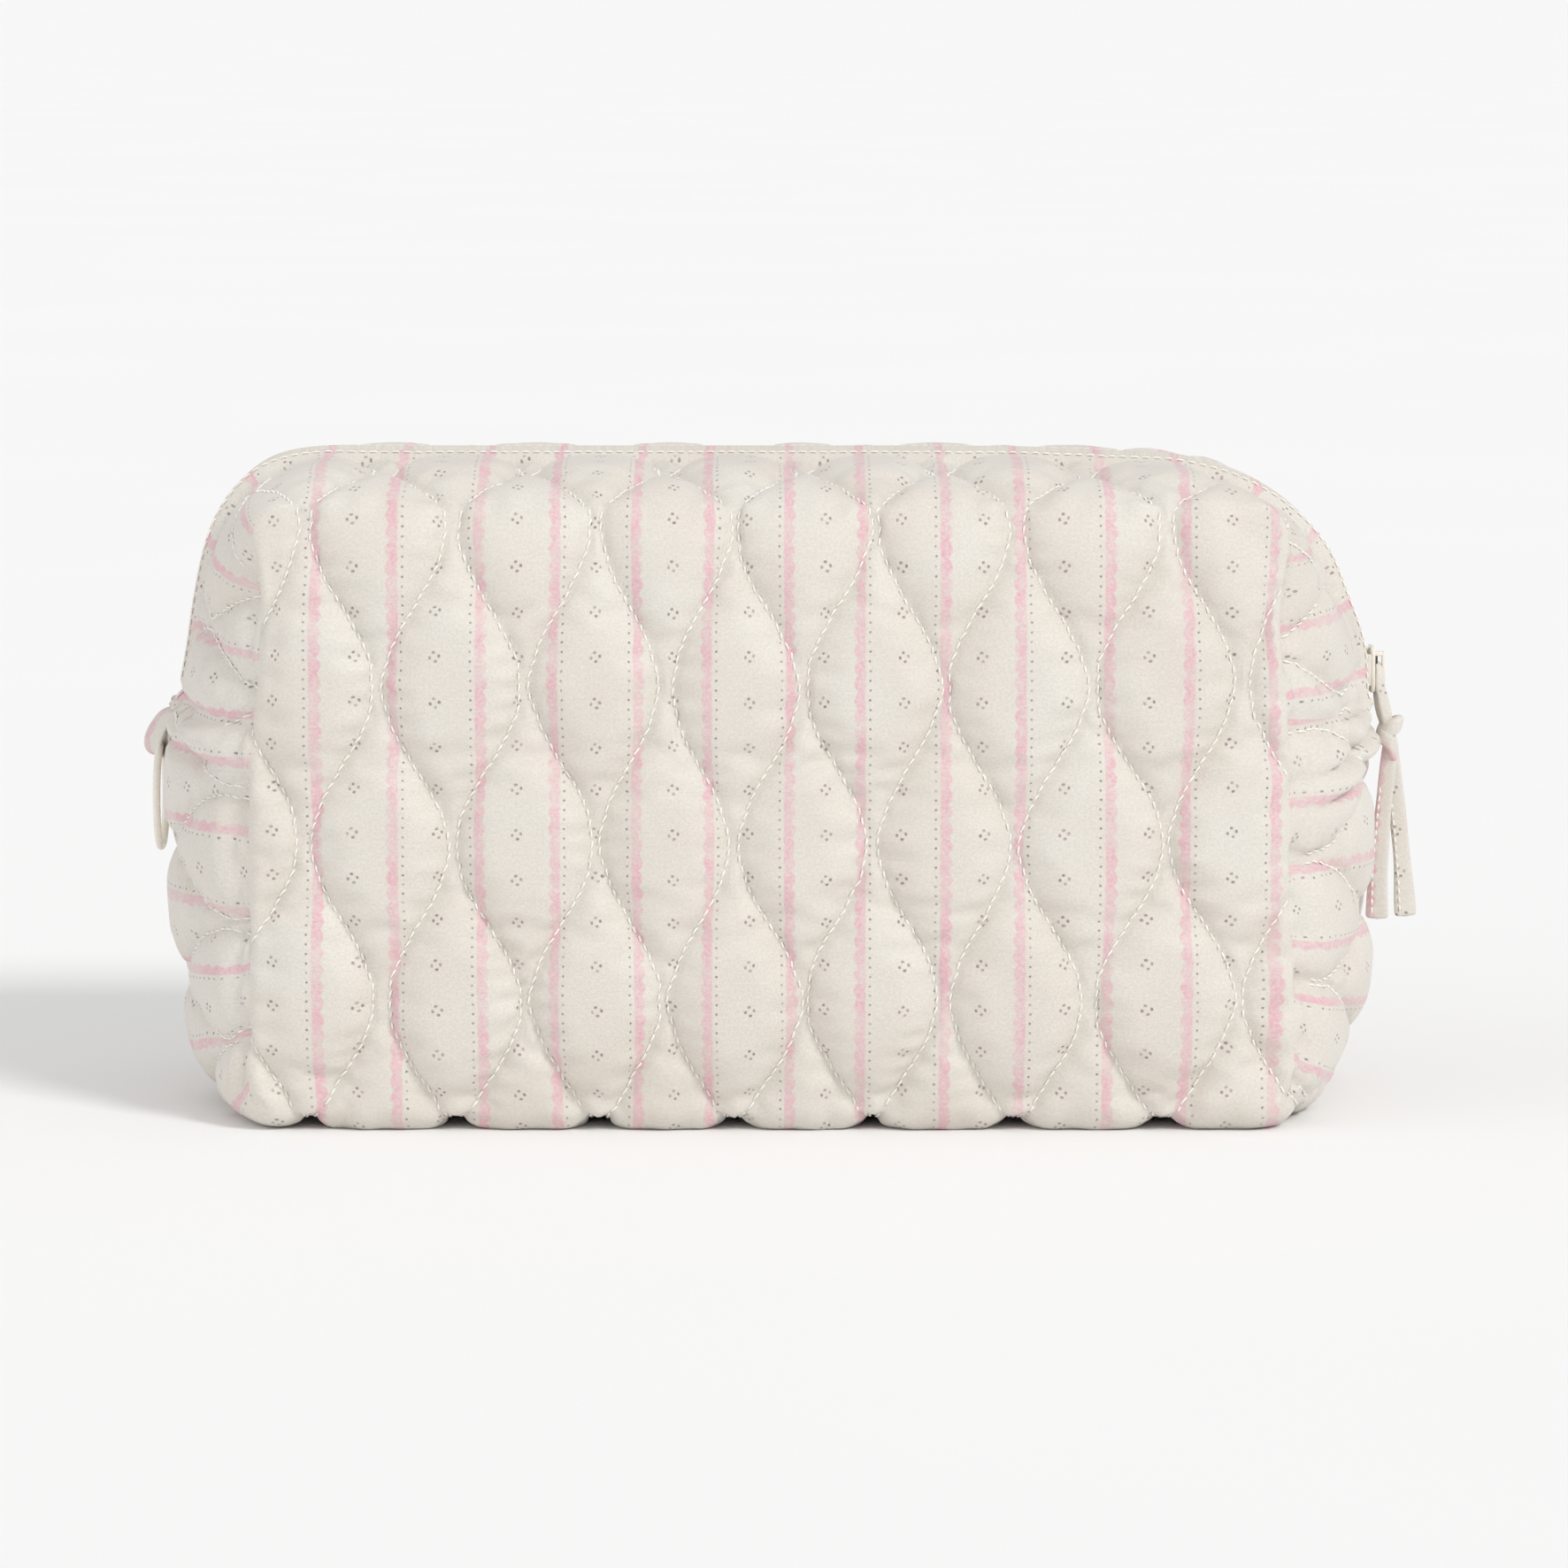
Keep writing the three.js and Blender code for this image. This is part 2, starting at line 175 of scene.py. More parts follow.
def net_counts(cell):
    across = 2 * round(FACE_HALF * 1.02 / cell)
    tall = round(FACE_HEIGHT * 0.98 / cell)
    return across, tall


def resample(loop, middles, across, tall):
    """Even points along each of the four sides, and how far round each one is."""
    closed = np.concatenate([loop, loop[:1]])
    step = np.linalg.norm(np.diff(closed, axis=0), axis=1)
    along = np.concatenate([[0], np.cumsum(step)])
    total = along[-1]
    marks = [along[m] for m in middles]
    sides = [
        (marks[3] - total, marks[0], tall),
        (marks[0], marks[1], across),
        (marks[1], marks[2], tall),
        (marks[2], marks[3], across),
    ]
    wanted = np.concatenate([np.linspace(a, b, n, endpoint=False) for a, b, n in sides])
    wrapped = np.mod(wanted, total)
    x = np.interp(wrapped, along, closed[:, 0])
    z = np.interp(wrapped, along, closed[:, 1])
    top_x = loop[middles[0]:middles[1] + 1, 0]
    top_middle = np.interp(0, top_x[::-1], along[middles[0]:middles[1] + 1][::-1])
    base_x = loop[middles[2]:middles[3] + 1, 0]
    base_middle = np.interp(0, base_x, along[middles[2]:middles[3] + 1])
    upper = top_middle - wanted
    lower = wanted - base_middle
    lower[:tall + 1] += total
    return np.stack([x, z], 1), upper, lower


EASE_LENGTH = 48.0


def middle_levels(inset):
    """For each end of the middle section: heights, and how far round from the top and base."""
    across, tall = 200, 300
    ring, upper, lower = resample(*outline(0, inset), across, tall)
    right = np.arange(0, tall + 40)
    left = np.arange(2 * tall + across, tall + across - 40, -1)
    levels = []
    for rising in (right, left):
        rising = rising[ring[rising, 1] < MIDDLE_HEIGHT - inset - 0.4]
        levels.append((ring[rising, 1], upper[rising], lower[rising]))
    return levels


def level_ends(ring, upper, lower, levels, across, tall):
    """Makes equal places on the cloth run level round each end, easing in from its corners."""
    ends = [(np.arange(0, tall + 1), tall, 0),
            (np.arange(tall + across, 2 * tall + across + 1), tall + across, 2 * tall + across)]
    for (heights, from_top, from_base), (side, top_k, base_k) in zip(levels, ends):
        for places, level, corner in ((upper, from_top, top_k), (lower, from_base, base_k)):
            far = np.clip(np.abs(places[side] - places[corner]) / EASE_LENGTH, 0, 1)
            ease = 1 - far * far * (3 - 2 * far)
            wrong = places[corner] - np.interp(ring[corner, 1], heights, level)
            places[side] = np.interp(ring[side, 1], heights, level) + wrong * ease


def pulled(u):
    """The cloth was pulled unevenly as it was sewn, so its pattern drifts a little sideways."""
    return u - 1.3 - 1.4 * math.cos(2 * math.pi * (u + 54) / 180)


def bag_net(inset, cell):
    """Vertices, faces and flat-cloth places of the bag's skin, shrunk by an inset."""
    across, tall = net_counts(cell)
    count = 2 * (across + tall)
    sleeve = max(2, round((HALF_DEPTH - SLOT_HALF) / cell))
    core = max(4, 2 * round(SLOT_HALF / cell))
    rows = np.concatenate([
        np.linspace(-HALF_DEPTH, -SLOT_HALF, sleeve, endpoint=False),
        np.linspace(-SLOT_HALF, SLOT_HALF, core, endpoint=False),
        np.linspace(SLOT_HALF, HALF_DEPTH, sleeve + 1),
    ])
    shrink = (HALF_DEPTH - inset) / HALF_DEPTH
    verts, upper, lower = [], [], []
    levels = middle_levels(inset)
    for y in rows:
        ring, up, down = resample(*outline(y, inset), across, tall)
        level_ends(ring, up, down, levels, across, tall)
        verts.append(np.column_stack([ring[:, 0], np.full(count, y * shrink), ring[:, 1]]))
        upper.append(up)
        lower.append(down)
    middle_ring = verts[len(rows) // 2]
    right_end = int(np.argmin(np.abs(middle_ring[:tall, 2] - ZIP_END)))
    left_side = np.arange(tall + across, 2 * tall + across)
    left_end = int(left_side[np.argmin(np.abs(middle_ring[left_side, 2] - ZIP_END))])
    faces, flat, zone = [], [], []
    for r in range(len(rows) - 1):
        y0, y1 = rows[r], rows[r + 1]
        for k in range(count):
            n = (k + 1) % count
            is_upper = right_end <= k < left_end
            if is_upper and abs(y0 + y1) / 2 < SLOT_HALF:
                continue
            faces.append((r * count + k, (r + 1) * count + k, (r + 1) * count + n, r * count + n))
            use = upper if is_upper else lower
            v0, v1 = cloth_v(y0, is_upper), cloth_v(y1, is_upper)
            flat.append(((use[r][k], v0), (use[r + 1][k], v1), (use[r + 1][n], v1), (use[r][n], v0)))
            zone.append(1 if is_upper else 2)
    front = face_net(verts[0], across, tall, inset)
    back = face_net(verts[-1] * (1, -1, 1), across, tall, inset) * (1, -1, 1)
    base = len(rows) * count
    ring_verts = np.concatenate(verts)
    inner = (across - 1) * (tall - 1)
    all_verts = np.concatenate([ring_verts, front.reshape(-1, 3), back.reshape(-1, 3)])

    def index(side, i, j):
        row = 0 if side == 0 else (len(rows) - 1) * count
        if j == 0:
            return row + (2 * tall + across + i) % count
        if j == tall:
            return row + tall + (across - i)
        if i == across:
            return row + j
        if i == 0:
            return row + tall + across + (tall - j)
        return base + side * inner + (j - 1) * (across - 1) + (i - 1)

    for side in (0, 1):
        for j in range(tall):
            for i in range(across):
                quad = [index(side, i, j), index(side, i + 1, j),
                        index(side, i + 1, j + 1), index(side, i, j + 1)]
                places = [(all_verts[q][0], face_v(all_verts[q][2], side)) for q in quad]
                if side:
                    quad.reverse()
                    places.reverse()
                faces.append(tuple(quad))
                flat.append(tuple(places))
                zone.append(3 + side)
    flat = [tuple((pulled(u), v) for u, v in places) for places in flat]
    return all_verts, faces, flat, zone, rows, (across, tall, count, right_end, left_end)


def cloth_v(y, is_upper):
    """Distance along the cloth from the front's base edge: up the front, or down and under."""
    if not is_upper:
        return FACE_LIFT - (HALF_DEPTH + y)
    if y < 0:
        return FACE_HEIGHT + (HALF_DEPTH + y)
    return -2 * HALF_DEPTH - FACE_HEIGHT - (HALF_DEPTH - y)


def face_v(z, side):
    return z if side == 0 else -2 * HALF_DEPTH - z + 2 * FACE_LIFT


def face_net(ring, across, tall, inset):
    """The inside points of one face: a net stretched between its four borders, then crowned."""
    count = len(ring)
    bottom = np.array([ring[(2 * tall + across + i) % count] for i in range(across + 1)])
    top = np.array([ring[tall + across - i] for i in range(across + 1)])
    right = np.array([ring[j] for j in range(tall + 1)])
    left = np.array([ring[2 * tall + across - j] for j in range(tall + 1)])
    s = np.linspace(0, 1, across + 1)[None, :, None]
    t = np.linspace(0, 1, tall + 1)[:, None, None]
    net = (1 - t) * bottom[None] + t * top[None] + (1 - s) * left[:, None] + s * right[:, None]
    net -= (1 - s) * (1 - t) * bottom[0] + s * (1 - t) * bottom[-1]
    net -= (1 - s) * t * top[0] + s * t * top[-1]
    middle = MIDDLE_HEIGHT / 2
    wide = np.abs(net[..., 0]) / (FACE_HALF - inset)
    high = np.abs(net[..., 2] - middle) / (FACE_HEIGHT - middle - inset)
    scale = np.clip((wide**7 + high**7) ** (1 / 7), 0, 1)
    net[..., 1] -= FACE_CROWN * (1 - scale**3) ** 0.8
    return net[1:-1, 1:-1]


COVER_INSET = 2.0
net_verts, net_faces, net_flat, net_zone, net_rows, net_facts = bag_net(COVER_INSET, CELL)
print("cloth net:", len(net_verts), "points,", len(net_faces), "cells")

# %% [markdown]
# ## The quilting
#
# The ogee lattice is a family of wavy lines. Each line swings left while its neighbour swings
# right, so they pinch into narrow necks and open into onion-shaped pads. One formula gives all
# the lines on the flat cloth. It has a small slow wander in it, as a hand-guided line has.

# %% Quilting lines on the flat cloth, in millimetres
LINE_SPACING = 15.15
LINE_SWING = 6.5
WAVE = 67.0
LINE_START = -1.1
NECK_HEIGHT = 96.0


def line_u(number, v):
    """Where line number crosses the height v on the flat cloth."""
    swing = np.where(np.mod(number, 2) == 0, 1.0, -1.0) * LINE_SWING
    wave = np.cos(2 * math.pi * (v - NECK_HEIGHT) / WAVE)
    wander = 0.4 * np.sin(v / 27 + 2.4 * number) + 0.25 * np.sin(v / 11 + 1.7 * number)
    return LINE_START + number * LINE_SPACING + swing * wave + wander


def to_nearest_line(u, v):
    """How far to the right of each flat place its nearest line is; less than 0 is to the left."""
    guess = np.round((u - LINE_START) / LINE_SPACING)
    best = np.full(u.shape, 1e9)
    for shift in (-1, 0, 1):
        gap = line_u(guess + shift, v) - u
        best = np.where(np.abs(gap) < np.abs(best), gap, best)
    return best


def line_slope(v):
    """How steeply a line leans at height v, whichever way it leans."""
    return LINE_SWING * 2 * math.pi / WAVE * np.sin(2 * math.pi * (v - NECK_HEIGHT) / WAVE)


print("line 0 crosses the neck height at", round(float(line_u(0, NECK_HEIGHT)), 2))

# %% [markdown]
# ## Padding it out
#
# Between the lines of stitching the cloth stands up over soft wadding, and along each line it
# gathers into small puckers. The net's points beside each line are moved onto it and held, and
# the pads start a little raised. Then a cloth simulation pushes the net out from inside with a
# little spare cloth. The simulation runs at twenty times life size, where its cells are a few
# centimetres across, which is the size that Blender's cloth is tuned for. How far any point
# rises or slides is capped afterwards, so that no pad balloons.

# %% Hold the stitched points on their lines
SEAM_BAND = 5.0  # the flat topstitched band beside the zip
HOLD_WITHIN = 0.51 * CELL  # a point nearer than this to a line is held on it
FAR_OFF = 99.0  # stands for the depth of the face points, which are in no row
net_co = net_verts.copy()
flat_at = np.full((len(net_co), 2), np.nan)
zone_at = np.zeros(len(net_co), int)
for face, places, zone in zip(net_faces, net_flat, net_zone):
    for corner, place in zip(face, places):
        if zone >= zone_at[corner]:
            flat_at[corner] = place
            zone_at[corner] = zone
across, tall, ring_count, right_end, left_end = net_facts
row_count = len(net_rows)
used = ~np.isnan(flat_at[:, 0])


def ring_tangent(corner):
    """The way along the cloth that its flat sideways distance grows, at one ring point."""
    row, k = divmod(corner, ring_count)
    ahead = net_co[row * ring_count + (k + 1) % ring_count]
    behind = net_co[row * ring_count + (k - 1) % ring_count]
    step = ahead - behind
    step /= np.linalg.norm(step)
    return -step if right_end <= k < left_end else step


offset = to_nearest_line(flat_at[:, 0], flat_at[:, 1])
held = used & (np.abs(offset) < HOLD_WITHIN)
ring_points = row_count * ring_count
face_points = len(net_co) - ring_points
edge_of_face = np.zeros(len(net_co), bool)
for k in range(ring_count):
    on_side = k <= tall or tall + across <= k <= 2 * tall + across
    if on_side:
        edge_of_face[[k, (row_count - 1) * ring_count + k]] = True
end_seam = np.zeros(len(net_co), bool)
for row in range(row_count):
    end_seam[[row * ring_count + right_end, row * ring_count + left_end]] = True
for corner in np.nonzero(held & ~edge_of_face & ~end_seam)[0]:
    if corner < ring_points:
        net_co[corner] += ring_tangent(corner) * offset[corner]
    else:
        net_co[corner, 0] += offset[corner]
row_y = np.repeat(net_rows, ring_count)
row_y = np.concatenate([row_y, np.full(face_points, FAR_OFF)])
ring_k = np.concatenate([np.tile(np.arange(ring_count), row_count), np.full(face_points, -1)])
zip_band = (np.abs(row_y) < SLOT_HALF + SEAM_BAND) & (ring_k >= right_end) & (ring_k <= left_end)
held |= edge_of_face | end_seam | zip_band
held &= used
print("held points:", int(held.sum()), "of", int(used.sum()))


# %% A mesh from the net
def add_object(name, mesh):
    obj = bpy.data.objects.new(name, mesh)
    bpy.context.scene.collection.objects.link(obj)
    return obj


def make_smooth(mesh):
    for polygon in mesh.polygons:
        polygon.use_smooth = True


def pick(*objects):
    """Selects these objects alone and makes the first of them active."""
    bpy.ops.object.select_all(action="DESELECT")
    for obj in objects:
        obj.select_set(True)
    bpy.context.view_layer.objects.active = objects[0]


def net_mesh(name, co, faces, flat):
    """A mesh in millimetres whose UV map is the flat cloth in metres."""
    keep = np.unique(np.concatenate([np.asarray(f) for f in faces]))
    new = np.full(len(co), -1)
    new[keep] = np.arange(len(keep))
    mesh = bpy.data.meshes.new(name)
    corners = [tuple(int(new[i]) for i in face) for face in faces]
    mesh.from_pydata([tuple(p) for p in co[keep]], [], corners)
    layer = mesh.uv_layers.new(name="cloth")
    uv = np.array([p for places in flat for p in places], float) * MM
    layer.data.foreach_set("uv", uv.astype(np.float32).ravel())
    mesh.update()
    return add_object(name, mesh), keep


def coordinates(mesh):
    co = np.empty(len(mesh.vertices) * 3)
    mesh.vertices.foreach_get("co", co)
    return co.reshape(-1, 3)


def set_coordinates(mesh, co):
    mesh.vertices.foreach_set("co", np.asarray(co, np.float32).ravel())
    mesh.update()


def vertex_normals(mesh):
    normals = np.empty(len(mesh.vertices) * 3)
    mesh.vertex_normals.foreach_get("vector", normals)
    return normals.reshape(-1, 3)


cloth, kept = net_mesh("cloth", net_co, net_faces, net_flat)
held_kept = held[kept]
start_co = coordinates(cloth.data)
normals = vertex_normals(cloth.data)
outward = start_co - np.array([0, 0, MIDDLE_HEIGHT / 2])
print("normals point out:", bool((normals * outward).sum(1).mean() > 0))

# %% Start shape: pads already standing a little, with small uneven dents
def smooth_noise(places, scale, seed):
    """Soft uneven numbers over space: a sum of nine waves in random directions."""
    draw = np.random.default_rng(seed)
    total = np.zeros(len(places))
    for _ in range(9):
        direction = draw.normal(size=3)
        direction *= 2 * math.pi / scale / np.linalg.norm(direction)
        total += np.sin(places @ direction + draw.uniform(0, 2 * math.pi))
    return total / 3


def near_upper_corner(co, from_height, over):
    """1 at the bag's upper corners, fading to 0 towards its middle and below a height."""
    out_at_end = np.clip((np.abs(co[:, 0]) - 94) / 12, 0, 1)
    return out_at_end * np.clip((co[:, 2] - from_height) / over, 0, 1)


PAD_START = 1.3
distance = np.abs(offset[kept]) / np.sqrt(1 + line_slope(flat_at[kept, 1]) ** 2)
pad = PAD_START * (1 - np.exp(-((distance / 3.2) ** 2)))
pad[held_kept] = 0
ripple = 0.25 * smooth_noise(start_co, 7.0, 11) * (~held_kept)
set_coordinates(cloth.data, start_co + normals * (pad + ripple)[:, None])
print("pads start", PAD_START, "mm high")

# %% Cloth simulation
SIM_SCALE = 0.02  # scene units for each millimetre, twenty times life size
SIM_FRAMES = 22
PAD_CAP = 3.4  # no point rises further than this
SLIDE_CAP = 0.9  # or slides along the cloth further than this


def simulate(obj, held_points):
    """Swells the cloth between its held points and returns its points before and after, in millimetres."""
    before = coordinates(obj.data)
    set_coordinates(obj.data, before * SIM_SCALE)
    group = obj.vertex_groups.new(name="held")
    group.add([int(i) for i in np.nonzero(held_points)[0]], 1.0, "REPLACE")
    cloth_modifier = obj.modifiers.new("cloth", "CLOTH")
    settings = cloth_modifier.settings
    settings.quality = 6
    settings.mass = 0.25
    settings.tension_stiffness = 20
    settings.compression_stiffness = 12
    settings.shear_stiffness = 6
    settings.bending_stiffness = 0.6
    settings.air_damping = 2
    settings.use_pressure = True
    settings.uniform_pressure_force = 7.0
    settings.shrink_min = -0.045
    settings.vertex_group_mass = "held"
    settings.effector_weights.gravity = 0
    cloth_modifier.collision_settings.use_collision = False
    cloth_modifier.point_cache.frame_start = 1
    cloth_modifier.point_cache.frame_end = SIM_FRAMES
    for step in range(1, SIM_FRAMES + 1):
        bpy.context.scene.frame_set(step)
    evaluated = obj.evaluated_get(bpy.context.evaluated_depsgraph_get())
    after = coordinates(evaluated.to_mesh()) / SIM_SCALE
    evaluated.to_mesh_clear()
    obj.modifiers.remove(cloth_modifier)
    bpy.context.scene.frame_set(1)
    return before, after


before, after = simulate(cloth, held_kept)
move = after - start_co
rise = (move * normals).sum(1)
slide = move - normals * rise[:, None]
slid = np.linalg.norm(slide, axis=1)
slide *= np.minimum(1, SLIDE_CAP / np.maximum(slid, 1e-9))[:, None]
at_corner = near_upper_corner(start_co, 108, 14)
rise = np.clip(rise, -PAD_CAP, PAD_CAP) * (1 - 0.7 * at_corner)
settled = start_co + normals * rise[:, None] + slide
print("cloth rose", round(float(rise.mean()), 2), "mm on average")
print("before its cap it slid at most", round(float(slid.max()), 2), "mm")
set_coordinates(cloth.data, settled)

# %% [markdown]
# ## Finer cloth, with the stitch lines drawn tight
#
# One level of subdivision halves the cells. Then the groove of each quilting line is pressed in
# and the cloth gathers into short puckers beside the thread. Each upright seam between a face
# and an end gets a small roll with a valley behind it, as padded cloth has where it is sewn edge
# to edge. Last, the seams across the ends gather the cloth into a few level folds, and the upper
# part of each end leans in a little.

# %% Subdivide the cloth and press in the lines
def apply_modifier(obj, kind, **settings):
    pick(obj)
    modifier = obj.modifiers.new(kind.lower(), kind)
    for key, value in settings.items():
        setattr(modifier, key, value)
    bpy.ops.object.modifier_apply(modifier=modifier.name)
    obj.select_set(False)


def flat_places(mesh, layer="cloth"):
    """Each vertex's place on the flat cloth in millimetres, from the UV map."""
    uv = np.empty(len(mesh.loops) * 2)
    mesh.uv_layers[layer].data.foreach_get("uv", uv)
    corner = np.empty(len(mesh.loops), int)
    mesh.loops.foreach_get("vertex_index", corner)
    places = np.zeros((len(mesh.vertices), 2))
    places[corner] = uv.reshape(-1, 2) / MM
    return places


apply_modifier(cloth, "SUBSURF", levels=1, render_levels=1)
GROOVE = 0.75
GROOVE_HALF_WIDTH = 0.95
PUCKER = 0.32
PUCKER_PITCH = 5.2
SEAM_SWELL = 0.7  # each face stands this much prouder at its seams
SEAM_GROOVE = 2.1  # and behind each seam the end drops in this far
BAND_RISE = 1.8  # the turned edges beside the zip stand this far above the held net
BAND_DIP = 1.5  # and the pads beside them lie this much lower
BESIDE_BAND = 34.0


def press_lines(obj):
    """Presses the quilting lines and seams into the cloth and raises the band beside the zip."""
    co = coordinates(obj.data)
    normal = vertex_normals(obj.data)
    places = flat_places(obj.data)
    slope = line_slope(places[:, 1])
    gap = to_nearest_line(places[:, 0], places[:, 1])
    away = np.abs(gap) / np.sqrt(1 + slope**2)
    in_band = (np.abs(co[:, 1]) < SLOT_HALF + SEAM_BAND) & (co[:, 2] > ZIP_END)
    groove = -GROOVE * np.exp(-((away / GROOVE_HALF_WIDTH) ** 2))
    side = np.sign(gap) * 1.7
    phase = places[:, 1] * 2 * math.pi / PUCKER_PITCH + side + 1.6 * smooth_noise(co, 26, 3)
    near = np.exp(-((away / 5.0) ** 2)) * (1 - np.exp(-((away / 1.1) ** 2)))
    strength = 0.55 + 0.45 * smooth_noise(co, 34, 5)
    pucker = PUCKER * near * np.sin(phase) * strength
    from_zip = np.abs(co[:, 1]) - SLOT_HALF
    band_edge = np.clip((SEAM_BAND - from_zip) / 2.6, 0, 1)
    beside = np.clip((BESIDE_BAND - from_zip) / 20, 0, 1)
    dip = np.where(co[:, 2] > ZIP_END, -BAND_DIP * beside * beside * (3 - 2 * beside), 0)
    below = np.clip(TAPER_TOP - co[:, 2], 0, 99) / TAPER_TOP
    seam_x = FACE_HALF - COVER_INSET - FACE_TAPER * below**3
    inside_seam = seam_x - np.abs(co[:, 0])
    behind_face = HALF_DEPTH - COVER_INSET - np.abs(co[:, 1])
    seam_here = np.clip((co[:, 2] - 5) / 6, 0, 1) * np.clip((128 - co[:, 2]) / 8, 0, 1)
    roll = SEAM_SWELL * np.exp(-(((inside_seam - 1.6) / 1.9) ** 2)) * (behind_face < 1.5) * seam_here
    notch = SEAM_GROOVE * np.exp(-(((behind_face - 1.9) / 1.25) ** 2)) * (inside_seam < 3) * seam_here
    stitched = (groove + pucker) * (1 - 0.6 * near_upper_corner(co, 112, 12))
    lift = np.where(in_band, mix(-0.6, BAND_RISE, band_edge), stitched + dip + roll)
    co = co + normal * lift[:, None]
    co[:, 0] -= np.sign(co[:, 0]) * notch
    co[:, 2] = np.where(co[:, 2] < 0.1, 0.1, co[:, 2])  # it lies flat on what it stands on
    set_coordinates(obj.data, co)


press_lines(cloth)

# %% Folds across the ends, where the end seam gathers the cloth
FOLDS = [
    # height, how far it stands out or in, half width, which end
    (80.6, -2.9, 1.05, 1),
    (77.2, 2.0, 2.1, 1),
    (73.8, -2.6, 1.05, 1),
    (84.6, 1.3, 2.8, 1),
    (69.5, 0.8, 3.0, 1),
    (83.5, 2.4, 2.8, -1),
    (78.4, -2.3, 1.15, -1),
    (88.5, -1.2, 1.2, -1),
    (62.0, 0.8, 5.5, -1),
]
LEFT_SAG = 4.2  # above its seam the left end leans in this far
END_FROM = 104.0  # the folds fade in over END_FADE outside this distance from the middle
END_FADE = 9.0


def shape_shift(x, z):
    """How far the skin stands from its simple outline, sideways and up."""
    left_end = np.clip((-x - 100) / 14, 0, 1)
    right_end = np.clip((x - 100) / 14, 0, 1)
    high = np.clip((z - 116) / 10, 0, 1)
    sideways = LEFT_SAG * np.exp(-(((z - 109) / 19) ** 2)) * left_end
    sideways -= 1.3 * np.exp(-(((z - 111) / 9) ** 2)) * right_end
    up = 2.6 * np.exp(-(((x + 113) / 13) ** 2)) * high
    up -= 1.3 * np.exp(-(((x - 88) / 24) ** 2)) * high
    return sideways, up


def fold_ends(obj):
    """Leans the ends in, hollows and swells them a little, and lays the folds across them."""
    co = coordinates(obj.data)
    push, up = shape_shift(co[:, 0], co[:, 2])
    co[:, 2] += up * np.clip((HALF_DEPTH - np.abs(co[:, 1])) / 25, 0, 1)
    on_right = np.clip((co[:, 0] - END_FROM) / END_FADE, 0, 1)
    off_band = np.clip((np.abs(co[:, 1]) - 11) / 5, 0, 1) * on_right
    push -= 2.4 * np.exp(-(((co[:, 2] - 106) / 18) ** 2)) * off_band
    push += 1.8 * np.exp(-(((co[:, 2] - 24) / 18) ** 2)) * on_right
    for height, depth, half_width, end in FOLDS:
        slant = (0.17 if end > 0 else 0.1) * (np.abs(co[:, 1]) - 20) + 0.9 * smooth_noise(co, 60, 17)
        across_fold = (co[:, 2] - height + slant) / half_width
        on_end = np.clip((end * co[:, 0] - END_FROM) / END_FADE, 0, 1)
        middle = np.clip((HALF_DEPTH - 2 - np.abs(co[:, 1])) / 12, 0, 1)
        push += depth * np.exp(-(across_fold**2)) * on_end * middle * end
    co[:, 0] += push
    set_coordinates(obj.data, co)


def follow_inside(obj):
    """Keeps an inner layer inside the outer cloth where the ends lean in and fold."""
    co = coordinates(obj.data)
    push, up = shape_shift(co[:, 0], co[:, 2])
    co[:, 2] += up * np.clip((HALF_DEPTH - np.abs(co[:, 1])) / 25, 0, 1)
    at_end = np.clip((np.abs(co[:, 0]) - 98) / 9, 0, 1)
    below_zip = np.clip((ZIP_END - co[:, 2]) / 3, 0, 1)
    off_band = np.maximum(np.clip((np.abs(co[:, 1]) - 8) / 6, 0, 1), below_zip)
    clear = 1.3 * off_band + 2.6 * np.exp(-(((co[:, 2] - 78) / 13) ** 2))
    clear += 2.4 * np.exp(-(((co[:, 2] - 106) / 18) ** 2)) * off_band * (co[:, 0] > 0)
    co[:, 0] += push - np.sign(co[:, 0]) * clear * at_end
    set_coordinates(obj.data, co)


fold_ends(cloth)
make_smooth(cloth.data)
print("cloth:", len(cloth.data.vertices), "points")

# %% [markdown]
# ## Front and back halves
#
# The mouth opens between the two halves, so the cover is two pieces that meet along the base and
# are parted by the zip. Each is closed with an inner skin a few millimetres in, which makes it a
# padded shell and not a sheet of paper.

# %% Cut the cloth in two and close each half
INNER_INSET = 4.6


def half_of(obj, name, side):
    """A copy of the part of a mesh that lies on one side of the middle."""
    copy = obj.copy()
    copy.data = obj.data.copy()
    copy.name = name
    copy.data.name = name
    bpy.context.scene.collection.objects.link(copy)
    bm = bmesh.new()
    bm.from_mesh(copy.data)
    gone = [f for f in bm.faces if f.calc_center_median().y * side < 0]
    bmesh.ops.delete(bm, geom=gone, context="FACES")
    bm.to_mesh(copy.data)
    bm.free()
    return copy


inner_verts, inner_faces, inner_flat, _, _, _ = bag_net(INNER_INSET, 5.0)
inner, _ = net_mesh("inner", inner_verts, [tuple(reversed(f)) for f in inner_faces],
                    [tuple(reversed(p)) for p in inner_flat])
follow_inside(inner)


def close_half(name, side):
    """One half of the cover: outer cloth and inner skin, bridged round their rims."""
    outer_half = half_of(cloth, name, side)
    inner_half = half_of(inner, name + "_inner", side)
    pick(outer_half, inner_half)
    bpy.ops.object.join()
    bm = bmesh.new()
    bm.from_mesh(outer_half.data)
    rim = [e for e in bm.edges if e.is_boundary]
    bmesh.ops.bridge_loops(bm, edges=rim)
    open_edges = sum(e.is_boundary for e in bm.edges)
    bm.to_mesh(outer_half.data)
    bm.free()
    set_coordinates(outer_half.data, coordinates(outer_half.data) * MM)
    make_smooth(outer_half.data)
    print(name, len(outer_half.data.polygons), "faces,", open_edges, "open edges")
    return outer_half


front_cover = close_half("front_cover", -1)
back_cover = close_half("back_cover", 1)
bpy.data.objects.remove(inner)

